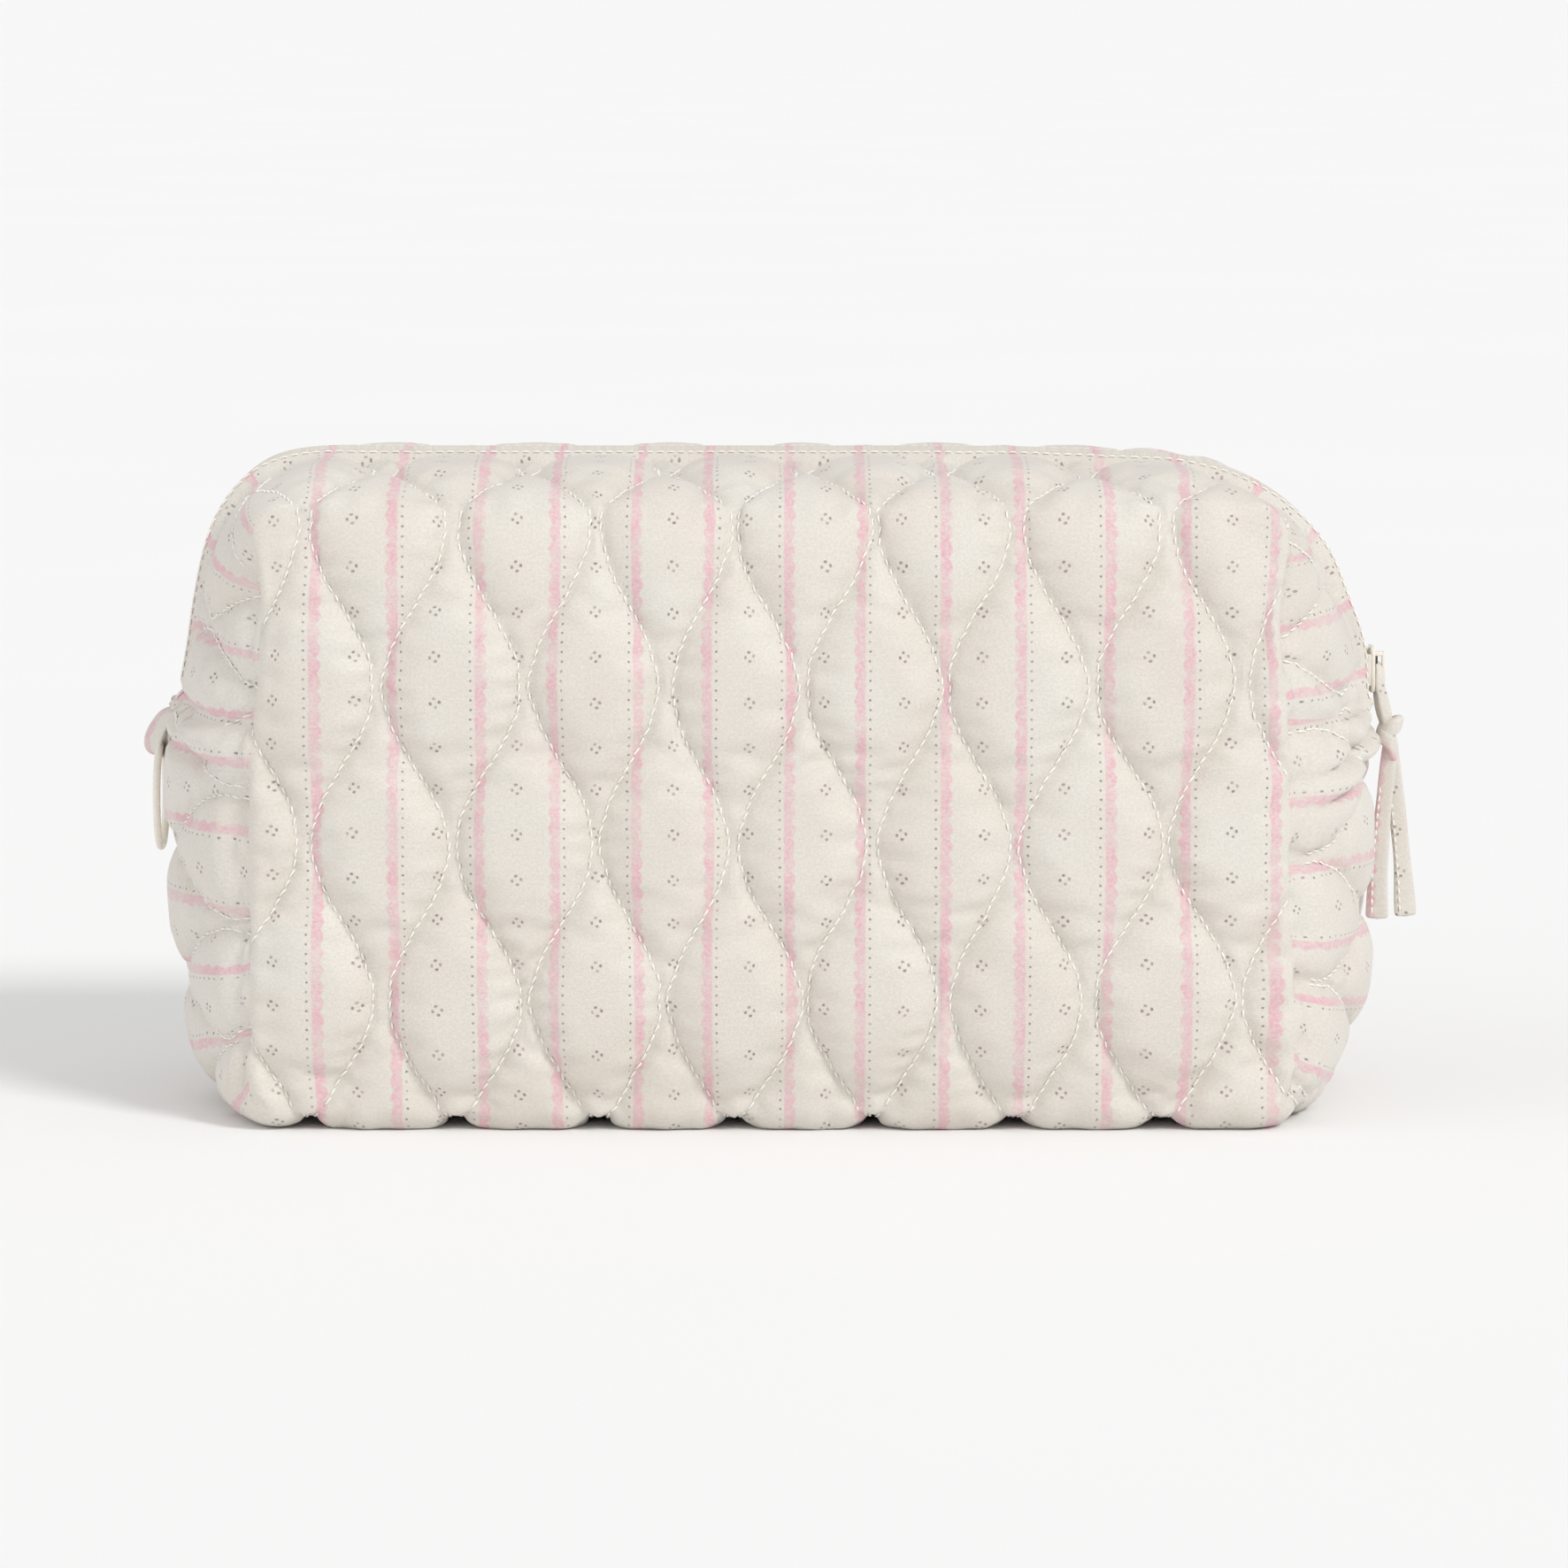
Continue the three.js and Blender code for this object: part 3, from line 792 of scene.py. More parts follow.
# %% [markdown]
# ## Finishes
#
# The cloth is a cotton sateen: a smooth face with a faint diagonal twill and a soft sheen. It is
# printed with pairs of pink stripes. Each stripe has a scalloped inner edge and a line of grey
# dots along its outer edge, and little four-dot flowers run between the stripes. Everything is
# worked out from the flat-cloth UV, so the print bends with the cloth. The repeat is built with
# wrapped distances: one stripe pair is drawn once and repeats for ever.

# %% Node helpers
def srgb(r, g, b):
    """A display colour, 0 to 255, as the linear colour that shaders use."""
    values = [v / 255 for v in (r, g, b)]
    linear = tuple(v / 12.92 if v <= 0.04045 else ((v + 0.055) / 1.055) ** 2.4 for v in values)
    return linear + (1.0,)


def feed(tree, socket, value):
    if isinstance(value, bpy.types.NodeSocket):
        tree.links.new(value, socket)
    else:
        socket.default_value = value


def calc(tree, operation, a, b=0.0, c=0.0, clamp=False):
    node = tree.nodes.new("ShaderNodeMath")
    node.operation = operation
    node.use_clamp = clamp
    for socket, value in zip(node.inputs, (a, b, c)):
        feed(tree, socket, value)
    return node.outputs[0]


def ramp(tree, value, low, high, to_low=0.0, to_high=1.0):
    """Smoothly carries value from low..high to to_low..to_high."""
    node = tree.nodes.new("ShaderNodeMapRange")
    node.interpolation_type = "SMOOTHSTEP"
    for socket, number in zip(node.inputs[:5], (value, low, high, to_low, to_high)):
        feed(tree, socket, number)
    return node.outputs[0]


def blend_colour(tree, amount, a, b, mode="MIX"):
    node = tree.nodes.new("ShaderNodeMix")
    node.data_type = "RGBA"
    node.blend_type = mode
    feed(tree, node.inputs[0], amount)
    feed(tree, node.inputs[6], a)
    feed(tree, node.inputs[7], b)
    return node.outputs[2]


def length_of(tree, a, b):
    """How far a point is from nothing when a and b are how far it is each way."""
    squares = [calc(tree, "POWER", calc(tree, "ABSOLUTE", way), 2) for way in (a, b)]
    return calc(tree, "SQRT", calc(tree, "ADD", *squares))


def noise(tree, vector, scale, detail=2.0, roughness=0.5):
    node = tree.nodes.new("ShaderNodeTexNoise")
    feed(tree, node.inputs["Vector"], vector)
    node.inputs["Scale"].default_value = scale
    node.inputs["Detail"].default_value = detail
    node.inputs["Roughness"].default_value = roughness
    return node.outputs["Fac"]


def group(name, inputs, outputs):
    """An empty node group with named sockets, and its input and output nodes."""
    tree = bpy.data.node_groups.new(name, "ShaderNodeTree")
    for socket_name, kind, default in inputs:
        socket = tree.interface.new_socket(socket_name, in_out="INPUT", socket_type=kind)
        if default is not None:
            socket.default_value = default
    for socket_name, kind in outputs:
        tree.interface.new_socket(socket_name, in_out="OUTPUT", socket_type=kind)
    return tree, tree.nodes.new("NodeGroupInput"), tree.nodes.new("NodeGroupOutput")


# %% The stripe print, as a node group
PAIR_PITCH = 33.5
PAIR_START = 11.4
PINK_AT = 8.0
PINK_HALF = 0.85
SCALLOP = 0.75
SCALLOP_PITCH = 3.4
DOTS_AT = 9.75
DOT_PITCH = 1.95
DOT_RADIUS = 0.26
FLOWER_PITCH = 9.3
FLOWER_ARM = 0.92
FLOWER_DOT = 0.33
FLOWER_TURN = 0.2


def stripe_print_group():
    """The printed stripes, dots and flowers, as a colour and as how much ink there is."""
    tree, inside, outside = group(
        "stripe print",
        [("Cloth", "NodeSocketVector", None), ("Ground", "NodeSocketColor", (1, 1, 1, 1)),
         ("Pink", "NodeSocketColor", (1, 0.6, 0.7, 1)), ("Dots", "NodeSocketColor", (0.3, 0.3, 0.3, 1))],
        [("Color", "NodeSocketColor"), ("Ink", "NodeSocketFloat")])
    split = tree.nodes.new("ShaderNodeSeparateXYZ")
    tree.links.new(inside.outputs["Cloth"], split.inputs[0])
    place = inside.outputs["Cloth"]
    wander = calc(tree, "MULTIPLY", calc(tree, "SUBTRACT", noise(tree, place, 420, 2), 0.5), 0.55)
    u = calc(tree, "ADD", calc(tree, "MULTIPLY", split.outputs[0], 1 / MM), wander)
    v = calc(tree, "MULTIPLY", split.outputs[1], 1 / MM)
    from_pair = calc(tree, "SUBTRACT", u, PAIR_START)
    pair = calc(tree, "ABSOLUTE", calc(tree, "WRAP", from_pair, PAIR_PITCH / 2, -PAIR_PITCH / 2))
    wave = calc(tree, "ABSOLUTE", calc(tree, "SINE", calc(tree, "MULTIPLY", v, math.pi / SCALLOP_PITCH)))
    inner_edge = calc(tree, "SUBTRACT", PINK_AT - PINK_HALF, calc(tree, "MULTIPLY", wave, SCALLOP))
    past_inner = calc(tree, "SUBTRACT", pair, inner_edge)
    to_outer = calc(tree, "SUBTRACT", PINK_AT + PINK_HALF, pair)
    pink = calc(tree, "MULTIPLY", ramp(tree, past_inner, -0.22, 0.3), ramp(tree, to_outer, -0.2, 0.25))
    blotch = ramp(tree, noise(tree, place, 150, 3, 0.6), 0.32, 0.68, 0.42, 1.0)
    speckle = ramp(tree, noise(tree, place, 1300, 3, 0.65), 0.35, 0.65, 0.5, 1.05)
    pink = calc(tree, "MULTIPLY", pink, calc(tree, "MULTIPLY", blotch, speckle), clamp=True)
    dot_u = calc(tree, "SUBTRACT", pair, DOTS_AT)
    dot_v = calc(tree, "WRAP", v, DOT_PITCH / 2, -DOT_PITCH / 2)
    dot_far = length_of(tree, dot_u, dot_v)
    dots = ramp(tree, dot_far, DOT_RADIUS - 0.12, DOT_RADIUS + 0.1, 1, 0)
    column = calc(tree, "WRAP", from_pair, PAIR_PITCH / 4, -PAIR_PITCH / 4)
    row = calc(tree, "WRAP", v, FLOWER_PITCH / 2, -FLOWER_PITCH / 2)
    row_turn = calc(tree, "MULTIPLY", row, FLOWER_TURN)
    column_turn = calc(tree, "MULTIPLY", column, FLOWER_TURN)
    arm_u = calc(tree, "ABSOLUTE", calc(tree, "ADD", column, row_turn))
    arm_v = calc(tree, "ABSOLUTE", calc(tree, "SUBTRACT", row, column_turn))
    long_arm = calc(tree, "SUBTRACT", calc(tree, "MAXIMUM", arm_u, arm_v), FLOWER_ARM)
    short_arm = calc(tree, "SUBTRACT", calc(tree, "MINIMUM", arm_u, arm_v), 0.07)
    flower_far = length_of(tree, long_arm, short_arm)
    flowers = ramp(tree, flower_far, FLOWER_DOT - 0.16, FLOWER_DOT + 0.08, 1, 0)
    fade = ramp(tree, noise(tree, place, 700, 2), 0.3, 0.65, 0.5, 1.0)
    grey = calc(tree, "MULTIPLY", calc(tree, "MAXIMUM", dots, flowers), fade, clamp=True)
    shade = blend_colour(tree, pink, inside.outputs["Ground"], inside.outputs["Pink"])
    shade = blend_colour(tree, grey, shade, inside.outputs["Dots"])
    tree.links.new(shade, outside.inputs["Color"])
    tree.links.new(calc(tree, "MAXIMUM", pink, grey), outside.inputs["Ink"])
    return tree


stripe_print = stripe_print_group()
print("print repeats every", PAIR_PITCH, "mm, nodes:", len(stripe_print.nodes))


# %% The weave, as a node group
def weave_group():
    """A fine diagonal twill over a little slub, as heights, and as painted shade in its low threads times
    a random grain.
    """
    tree, inside, outside = group(
        "weave",
        [("Cloth", "NodeSocketVector", None), ("Threads per metre", "NodeSocketFloat", 2800.0),
         ("Slant", "NodeSocketFloat", 0.6)],
        [("Height", "NodeSocketFloat"), ("Shade", "NodeSocketFloat")])
    split = tree.nodes.new("ShaderNodeSeparateXYZ")
    tree.links.new(inside.outputs["Cloth"], split.inputs[0])
    threads = inside.outputs["Threads per metre"]
    u = calc(tree, "MULTIPLY", split.outputs[0], threads)
    v = calc(tree, "MULTIPLY", split.outputs[1], threads)
    diagonal = calc(tree, "ADD", u, calc(tree, "MULTIPLY", v, inside.outputs["Slant"]))
    twill = calc(tree, "SINE", calc(tree, "MULTIPLY", diagonal, 2 * math.pi))
    cross = calc(tree, "SINE", calc(tree, "MULTIPLY", v, 2 * math.pi))
    slub = noise(tree, inside.outputs["Cloth"], 900, 3, 0.6)
    height = calc(tree, "ADD", calc(tree, "MULTIPLY", twill, 0.35), calc(tree, "MULTIPLY", cross, 0.2))
    height = calc(tree, "ADD", height, slub)
    tree.links.new(height, outside.inputs["Height"])
    grain = ramp(tree, noise(tree, inside.outputs["Cloth"], 1700, 3, 0.7), 0.3, 0.7, 0.89, 1.0)
    # painted shade: the lower the twill and slub, the darker the cloth; the grain on top is random tone
    shade = calc(tree, "MULTIPLY", ramp(tree, height, -0.3, 1.3, 0.93, 1.0), grain)
    tree.links.new(shade, outside.inputs["Shade"])
    return tree


weave = weave_group()
print("weave nodes:", len(weave.nodes))


def place_group(tree, shared, **values):
    node = tree.nodes.new("ShaderNodeGroup")
    node.node_tree = shared
    for name, value in values.items():
        feed(tree, node.inputs[name.replace("_", " ")], value)
    return node


def new_material(name):
    material = bpy.data.materials.new(name)
    material.use_nodes = True
    return material, material.node_tree, material.node_tree.nodes["Principled BSDF"]


def bump(tree, shader, height, distance, strength=1.0):
    node = tree.nodes.new("ShaderNodeBump")
    node.inputs["Distance"].default_value = distance
    node.inputs["Strength"].default_value = strength
    feed(tree, node.inputs["Height"], height)
    tree.links.new(node.outputs[0], shader.inputs["Normal"])


def flat_cloth(tree):
    node = tree.nodes.new("ShaderNodeUVMap")
    node.uv_map = "cloth"
    return node.outputs[0]


def object_place(tree):
    return tree.nodes.new("ShaderNodeTexCoord").outputs["Object"]


# %% Printed sateen
IVORY = srgb(235, 230, 221)
IVORY_SHADE = srgb(231, 224, 214)
BLUSH = srgb(237, 186, 197)
DOT_GREY = srgb(160, 145, 141)


def sateen_material(name):
    material, tree, shader = new_material(name)
    place = flat_cloth(tree)
    cloth_weave = place_group(tree, weave, Cloth=place)
    tone = ramp(tree, noise(tree, place, 40, 2), 0.3, 0.7, 0.0, 1.0)
    ground = blend_colour(tree, tone, IVORY, IVORY_SHADE)
    inks = place_group(tree, stripe_print, Cloth=place, Ground=ground, Pink=BLUSH, Dots=DOT_GREY)
    rough = ramp(tree, inks.outputs["Ink"], 0, 1, 0.5, 0.62)
    # the print is darkened by the weave's painted shade and its grain
    colour = blend_colour(tree, 1.0, inks.outputs["Color"], cloth_weave.outputs["Shade"], "MULTIPLY")
    tree.links.new(colour, shader.inputs["Base Color"])
    tree.links.new(rough, shader.inputs["Roughness"])
    shader.inputs["Specular IOR Level"].default_value = 0.35
    shader.inputs["Sheen Weight"].default_value = 0.18
    shader.inputs["Sheen Roughness"].default_value = 0.4
    bump(tree, shader, cloth_weave.outputs["Height"], 0.00006, 0.6)
    return material


sateen = sateen_material("printed_sateen")
print("sateen nodes:", len(sateen.node_tree.nodes))


# %% Thread, tape, lining, nylon, enamel and steel
def woven_material(name, colour, other, threads, roughness):
    """Plain woven cloth that reads the piece's own UV."""
    material, tree, shader = new_material(name)
    place = flat_cloth(tree)
    cloth_weave = place_group(tree, weave, Cloth=place, Threads_per_metre=threads, Slant=0.0)
    ground = blend_colour(tree, noise(tree, place, 120, 3), colour, other)
    # the ground is darkened by the weave's painted shade and its grain
    ground = blend_colour(tree, 1.0, ground, cloth_weave.outputs["Shade"], "MULTIPLY")
    tree.links.new(ground, shader.inputs["Base Color"])
    rough = ramp(tree, cloth_weave.outputs["Height"], -0.3, 1.3, roughness + 0.06, roughness - 0.04)
    tree.links.new(rough, shader.inputs["Roughness"])
    shader.inputs["Sheen Weight"].default_value = 0.15
    bump(tree, shader, cloth_weave.outputs["Height"], 0.00012, 0.8)
    return material


def grained_material(name, colour, other, scale, roughness, metal=0.0, coat=0.0, grain=0.00002):
    """A moulded, coated or metal finish with a fine grain and a slight change of tone."""
    material, tree, shader = new_material(name)
    place = object_place(tree)
    tone = noise(tree, place, scale * 0.12, 3)
    fine = noise(tree, place, scale, 4, 0.6)
    mottled = blend_colour(tree, ramp(tree, tone, 0.35, 0.65), colour, other)
    rough = ramp(tree, fine, 0.3, 0.7, roughness - 0.06, roughness + 0.08)
    tree.links.new(mottled, shader.inputs["Base Color"])
    tree.links.new(rough, shader.inputs["Roughness"])
    shader.inputs["Metallic"].default_value = metal
    shader.inputs["Coat Weight"].default_value = coat
    shader.inputs["Coat Roughness"].default_value = 0.2
    bump(tree, shader, fine, grain, 0.7)
    return material


lining_cloth = woven_material("lining_cloth", srgb(236, 228, 216), srgb(229, 219, 206), 1600.0, 0.78)
tape_cloth = woven_material("tape_cloth", srgb(240, 233, 221), srgb(233, 225, 211), 1300.0, 0.8)
thread = grained_material(
    "white_thread", srgb(252, 250, 245), srgb(243, 239, 231), 9000, 0.55, grain=0.00004)
nylon = grained_material(
    "nylon", srgb(240, 234, 222), srgb(234, 226, 212), 3000, 0.36, coat=0.1)
enamel = grained_material(
    "cream_enamel", srgb(244, 239, 228), srgb(238, 231, 218), 1500, 0.26, coat=0.55)
# a dark metal: partly the slider's bare metal, partly painted shade in its gaps
dark_metal_and_painted_shade = grained_material(
    "slider_bare_metal_and_painted_shade", srgb(70, 64, 58), srgb(104, 94, 84), 2500, 0.4, metal=0.8)
steel = grained_material(
    "stop_steel", srgb(214, 206, 194), srgb(196, 187, 172), 2200, 0.34, metal=0.9)
print("materials:", len(bpy.data.materials))

# %% Put the cloth on the bag
UPPER_LAYERS = ("cover", "wadding")
for piece, flap, layers_of in ((front_cover, "front_flap", ["body"]), (back_cover, "back_flap", [])):
    piece.data.materials.clear()
    piece.data.materials.append(sateen)
    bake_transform(piece)
    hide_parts(*[f"{part}_{layer}" for part in [flap] + layers_of for layer in UPPER_LAYERS])

# %% [markdown]
# ## Quilting thread
#
# Every stitch is a short rounded bit of thread that dips into the cloth at both ends. Lines are
# known on the flat cloth, so each stitch is laid out flat first. Then its ends are carried to
# the swollen cloth: find the cell that holds the flat place, and take the same place in that
# cell in space. A search tree over the flat cells makes that quick.

# %% Carry flat places onto the cloth
OFF_CLOTH = 0.4  # a stitch further than this off the cloth is left out
cloth_co = coordinates(cloth.data)
cloth_normal = vertex_normals(cloth.data)
loop_uv = np.empty(len(cloth.data.loops) * 2)
cloth.data.uv_layers["cloth"].data.foreach_get("uv", loop_uv)
loop_uv = loop_uv.reshape(-1, 2) / MM
flat_cells = [tuple(p.loop_indices) for p in cloth.data.polygons]
cell_corners = [tuple(p.vertices) for p in cloth.data.polygons]
flat_tree = BVHTree.FromPolygons([(u, v, 0.0) for u, v in loop_uv], flat_cells)
print("flat cells:", len(flat_cells))


def carry(u, v):
    """The point and outward normal in space for a place on the flat cloth, or None."""
    found, _, cell, far = flat_tree.find_nearest((u, v, 0.0))
    if found is None or far > OFF_CLOTH:
        return None
    a, b, c, d = (loop_uv[i] for i in flat_cells[cell])
    across_cell, up_cell = (b - a + c - d) / 2, (d - a + c - b) / 2
    area = across_cell[0] * up_cell[1] - across_cell[1] * up_cell[0]
    offset_uv = np.array([u, v]) - (a + b + c + d) / 4
    s = (offset_uv[0] * up_cell[1] - offset_uv[1] * up_cell[0]) / area + 0.5
    t = (across_cell[0] * offset_uv[1] - across_cell[1] * offset_uv[0]) / area + 0.5
    s, t = min(max(s, 0), 1), min(max(t, 0), 1)
    weights = np.array([(1 - s) * (1 - t), s * (1 - t), s * t, (1 - s) * t])
    corners = list(cell_corners[cell])
    normal = weights @ cloth_normal[corners]
    return weights @ cloth_co[corners], normal / np.linalg.norm(normal)


# %% Lay out the stitches
STITCH = 1.85
STITCH_PITCH = 2.3
STITCH_SLANT = 0.16
THREAD_RADIUS = 0.25
V_LOW = -2 * HALF_DEPTH - FACE_HEIGHT - (HALF_DEPTH - SLOT_HALF - SEAM_BAND) + 1
V_HIGH = FACE_HEIGHT + (HALF_DEPTH - SLOT_HALF - SEAM_BAND) - 1
U_REACH = 206.0
TOPSTITCH_OUT = 3.2  # from the edge of the zip's slot to its row of stitches


def quilting_stitches():
    """Start and end of every quilting stitch on the flat cloth."""
    heights = np.arange(V_LOW, V_HIGH, 0.25)
    reach_lines = int(U_REACH / LINE_SPACING)
    for number in range(-reach_lines, reach_lines + 1):
        sideways = line_u(number, heights)
        length = np.concatenate([[0], np.cumsum(np.hypot(np.diff(sideways), np.diff(heights)))])
        starts = np.arange(0.4 + (number % 3) * 0.7, length[-1] - STITCH, STITCH_PITCH)
        for start in starts:
            v0, v1 = np.interp([start, start + STITCH], length, heights)
            u0 = float(line_u(number, v0)) - STITCH_SLANT
            u1 = float(line_u(number, v1)) + STITCH_SLANT
            yield (u0, v0), (u1, v1)


def topstitches():
    """One row beside the zip on each half."""
    for back in (False, True):
        reach_v = HALF_DEPTH - SLOT_HALF - TOPSTITCH_OUT
        v = -2 * HALF_DEPTH - FACE_HEIGHT - reach_v if back else FACE_HEIGHT + reach_v
        for start in np.arange(-U_REACH, U_REACH, STITCH_PITCH):
            yield (start, v), (start + STITCH, v)


def finished_object(name, mesh):
    """Turns a new mesh's faces outwards and puts it in the scene."""
    bm = bmesh.new()
    bm.from_mesh(mesh)
    bmesh.ops.recalc_face_normals(bm, faces=bm.faces)
    bm.to_mesh(mesh)
    bm.free()
    return add_object(name, mesh)


def stitch_mesh(name, stitches):
    """All the stitches as one mesh: each is four rings of five points, closed at both ends."""
    sides, fractions = 5, (0.0, 0.22, 0.78, 1.0)
    radii, heights = (0.55, 1.0, 1.0, 0.55), (-0.12, 0.2, 0.2, -0.12)
    turn = np.arange(sides) * 2 * math.pi / sides
    points, faces = [], []
    for (p0, n0), (p1, n1) in stitches:
        axis = p1 - p0
        axis /= np.linalg.norm(axis)
        up = n0 + n1
        up /= np.linalg.norm(up)
        across_thread = np.cross(up, axis)
        first = len(points)
        for fraction, radius, height in zip(fractions, radii, heights):
            middle = p0 + (p1 - p0) * fraction + up * height
            for angle in turn:
                step = across_thread * math.cos(angle) + up * math.sin(angle) * 0.8
                points.append(middle + step * radius * THREAD_RADIUS)
        for ring in range(len(fractions) - 1):
            a = first + ring * sides
            for k in range(sides):
                n = (k + 1) % sides
                faces.append((a + k, a + n, a + sides + n, a + sides + k))
        faces.append(tuple(range(first + sides - 1, first - 1, -1)))
        last = first + (len(fractions) - 1) * sides
        faces.append(tuple(range(last, last + sides)))
    mesh = bpy.data.meshes.new(name)
    mesh.from_pydata([tuple(p * MM) for p in points], [], faces)
    mesh.materials.append(thread)
    make_smooth(mesh)
    return finished_object(name, mesh)


laid = {-1: [], 1: []}
for source in (quilting_stitches(), topstitches()):
    for start, end in source:
        ends = (carry(*start), carry(*end))
        if None in ends:
            continue
        gap = np.linalg.norm(ends[0][0] - ends[1][0])
        if 0.6 * STITCH < gap < 1.6 * STITCH:
            middle_y = ends[0][0][1] + ends[1][0][1]
            laid[-1 if middle_y < 0 else 1].append(ends)
front_stitches = stitch_mesh("front_stitches", laid[-1])
back_stitches = stitch_mesh("back_stitches", laid[1])
for piece, flap in ((front_stitches, "front_flap"), (back_stitches, "back_flap")):
    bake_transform(piece)
print("stitches:", len(laid[-1]), "front,", len(laid[1]), "back")
bpy.data.objects.remove(cloth)

# %% [markdown]
# ## Lining
#
# Inside the padding is a thin plain cloth. It is the same net again, a little smaller, with the
# quilting lines pressed outwards, because the thread pulls it into the wadding too. Solidify
# gives it the thickness of a cloth.

# %% Lining halves
LINING_INSET = 5.0
LINING_THICKNESS = 0.7
LINING_CELL = 3.2
lining_verts, lining_faces, lining_flat, _, _, _ = bag_net(LINING_INSET, LINING_CELL)
lining, _ = net_mesh("lining", lining_verts, lining_faces, lining_flat)
lining_places = flat_places(lining.data)
lining_gap = to_nearest_line(lining_places[:, 0], lining_places[:, 1])
lining_lift = 0.7 * np.exp(-((lining_gap / 2.2) ** 2)) - 0.4
lining_move = vertex_normals(lining.data) * lining_lift[:, None]
set_coordinates(lining.data, coordinates(lining.data) + lining_move)
follow_inside(lining)


def lining_half(name, side, nodes):
    piece = half_of(lining, name, side)
    set_coordinates(piece.data, coordinates(piece.data) * MM)
    apply_modifier(piece, "SOLIDIFY", thickness=LINING_THICKNESS * MM, offset=-1)
    piece.data.materials.append(lining_cloth)
    make_smooth(piece.data)
    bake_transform(piece)
    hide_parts(*nodes)
    return piece


lining_half("front_lining", -1, ["front_flap_lining", "body_lining"])
lining_half("back_lining", 1, ["back_flap_lining"])
bpy.data.objects.remove(lining)
print("lining: two halves,", LINING_THICKNESS, "mm thick")

# %% [markdown]
# ## Zip
#
# The zip's tape runs up one end, over the top and down the other end, so every part of it is a
# section carried along that run. The nylon coil is one long helix on each tape. The two helices
# are half a turn apart, so their loops lie between each other where they meet.

# %% The zip's run
TAPE_UNDER = 2.3  # how far the tape lies under the bag's outline
TAPE_THICK = 0.45
shoulder_x = MIDDLE_HALF - RIGHT_SHOULDER
shoulder_z = MIDDLE_HEIGHT - RIGHT_SHOULDER
left_x = LEFT_SHOULDER - MIDDLE_HALF
left_z = MIDDLE_HEIGHT - LEFT_SHOULDER
RUN_START = ZIP_END + 0.6


def zip_run(step):
    """Points and outward directions in X and Z along the zip, at even steps."""
    legs = [
        # a line has its two ends and its outward way; an arc its middle, radius and start angle
        ("line", (MIDDLE_HALF, RUN_START), (MIDDLE_HALF, shoulder_z), (1, 0)),
        ("arc", (shoulder_x, shoulder_z), RIGHT_SHOULDER, 0),
        ("line", (shoulder_x, MIDDLE_HEIGHT), (left_x, MIDDLE_HEIGHT), (0, 1)),
        ("arc", (left_x, left_z), LEFT_SHOULDER, 0.5 * math.pi),
        ("line", (-MIDDLE_HALF, left_z), (-MIDDLE_HALF, RUN_START), (-1, 0)),
    ]
    points, outs = [], []
    for kind, a, b, c in legs:
        if kind == "line":
            a, b = np.array(a, float), np.array(b, float)
            count = max(2, int(np.linalg.norm(b - a) / step))
            for t in np.linspace(0, 1, count, endpoint=False):
                points.append(a + (b - a) * t)
                outs.append(np.array(c, float))
        else:
            count = max(2, int(b * 0.5 * math.pi / step))
            for t in np.linspace(0, 0.5 * math.pi, count, endpoint=False):
                out = np.array([math.cos(c + t), math.sin(c + t)])
                points.append(np.array(a) + out * b)
                outs.append(out)
    points.append(np.array([-MIDDLE_HALF, RUN_START]))
    outs.append(np.array([-1.0, 0.0]))
    points, outs = np.array(points), np.array(outs)
    sideways, up = shape_shift(points[:, 0], points[:, 1])
    points += np.stack([sideways, up], 1)
    along = np.concatenate([[0], np.cumsum(np.linalg.norm(np.diff(points, axis=0), axis=1))])
    return points, outs, along


def loft(name, rings, material, smooth=True, uv_start=(0, 0)):
    """A closed tube through equal rings of points, in millimetres, with flat ends."""
    rings = [np.asarray(r, float) for r in rings]
    count = len(rings[0])
    points = np.concatenate(rings)
    faces, uvs = [], []
    steps = [np.linalg.norm(b.mean(0) - a.mean(0)) for a, b in zip(rings, rings[1:])]
    lengths = np.concatenate([[0], np.cumsum(steps)])
    middle_ring = rings[len(rings) // 2]
    ring_steps = np.linalg.norm(np.roll(middle_ring, -1, 0) - middle_ring, axis=1)
    around = np.concatenate([[0], np.cumsum(ring_steps)])
    for r in range(len(rings) - 1):
        for k in range(count):
            n = (k + 1) % count
            faces.append((r * count + k, r * count + n, (r + 1) * count + n, (r + 1) * count + k))
            uvs += [(around[k], lengths[r]), (around[k + 1], lengths[r]),
                    (around[k + 1], lengths[r + 1]), (around[k], lengths[r + 1])]
    faces.append(tuple(range(count - 1, -1, -1)))
    uvs += [(around[k], 0) for k in range(count - 1, -1, -1)]
    last = (len(rings) - 1) * count
    faces.append(tuple(range(last, last + count)))
    uvs += [(around[k], lengths[-1]) for k in range(count)]
    mesh = bpy.data.meshes.new(name)
    mesh.from_pydata([tuple(p * MM) for p in points], [], faces)
    layer = mesh.uv_layers.new(name="cloth")
    layer.data.foreach_set("uv", ((np.array(uvs, np.float32) + uv_start) * MM).ravel())
    mesh.materials.append(material)
    for polygon in mesh.polygons:
        polygon.use_smooth = smooth and len(polygon.vertices) == 4
    return finished_object(name, mesh)


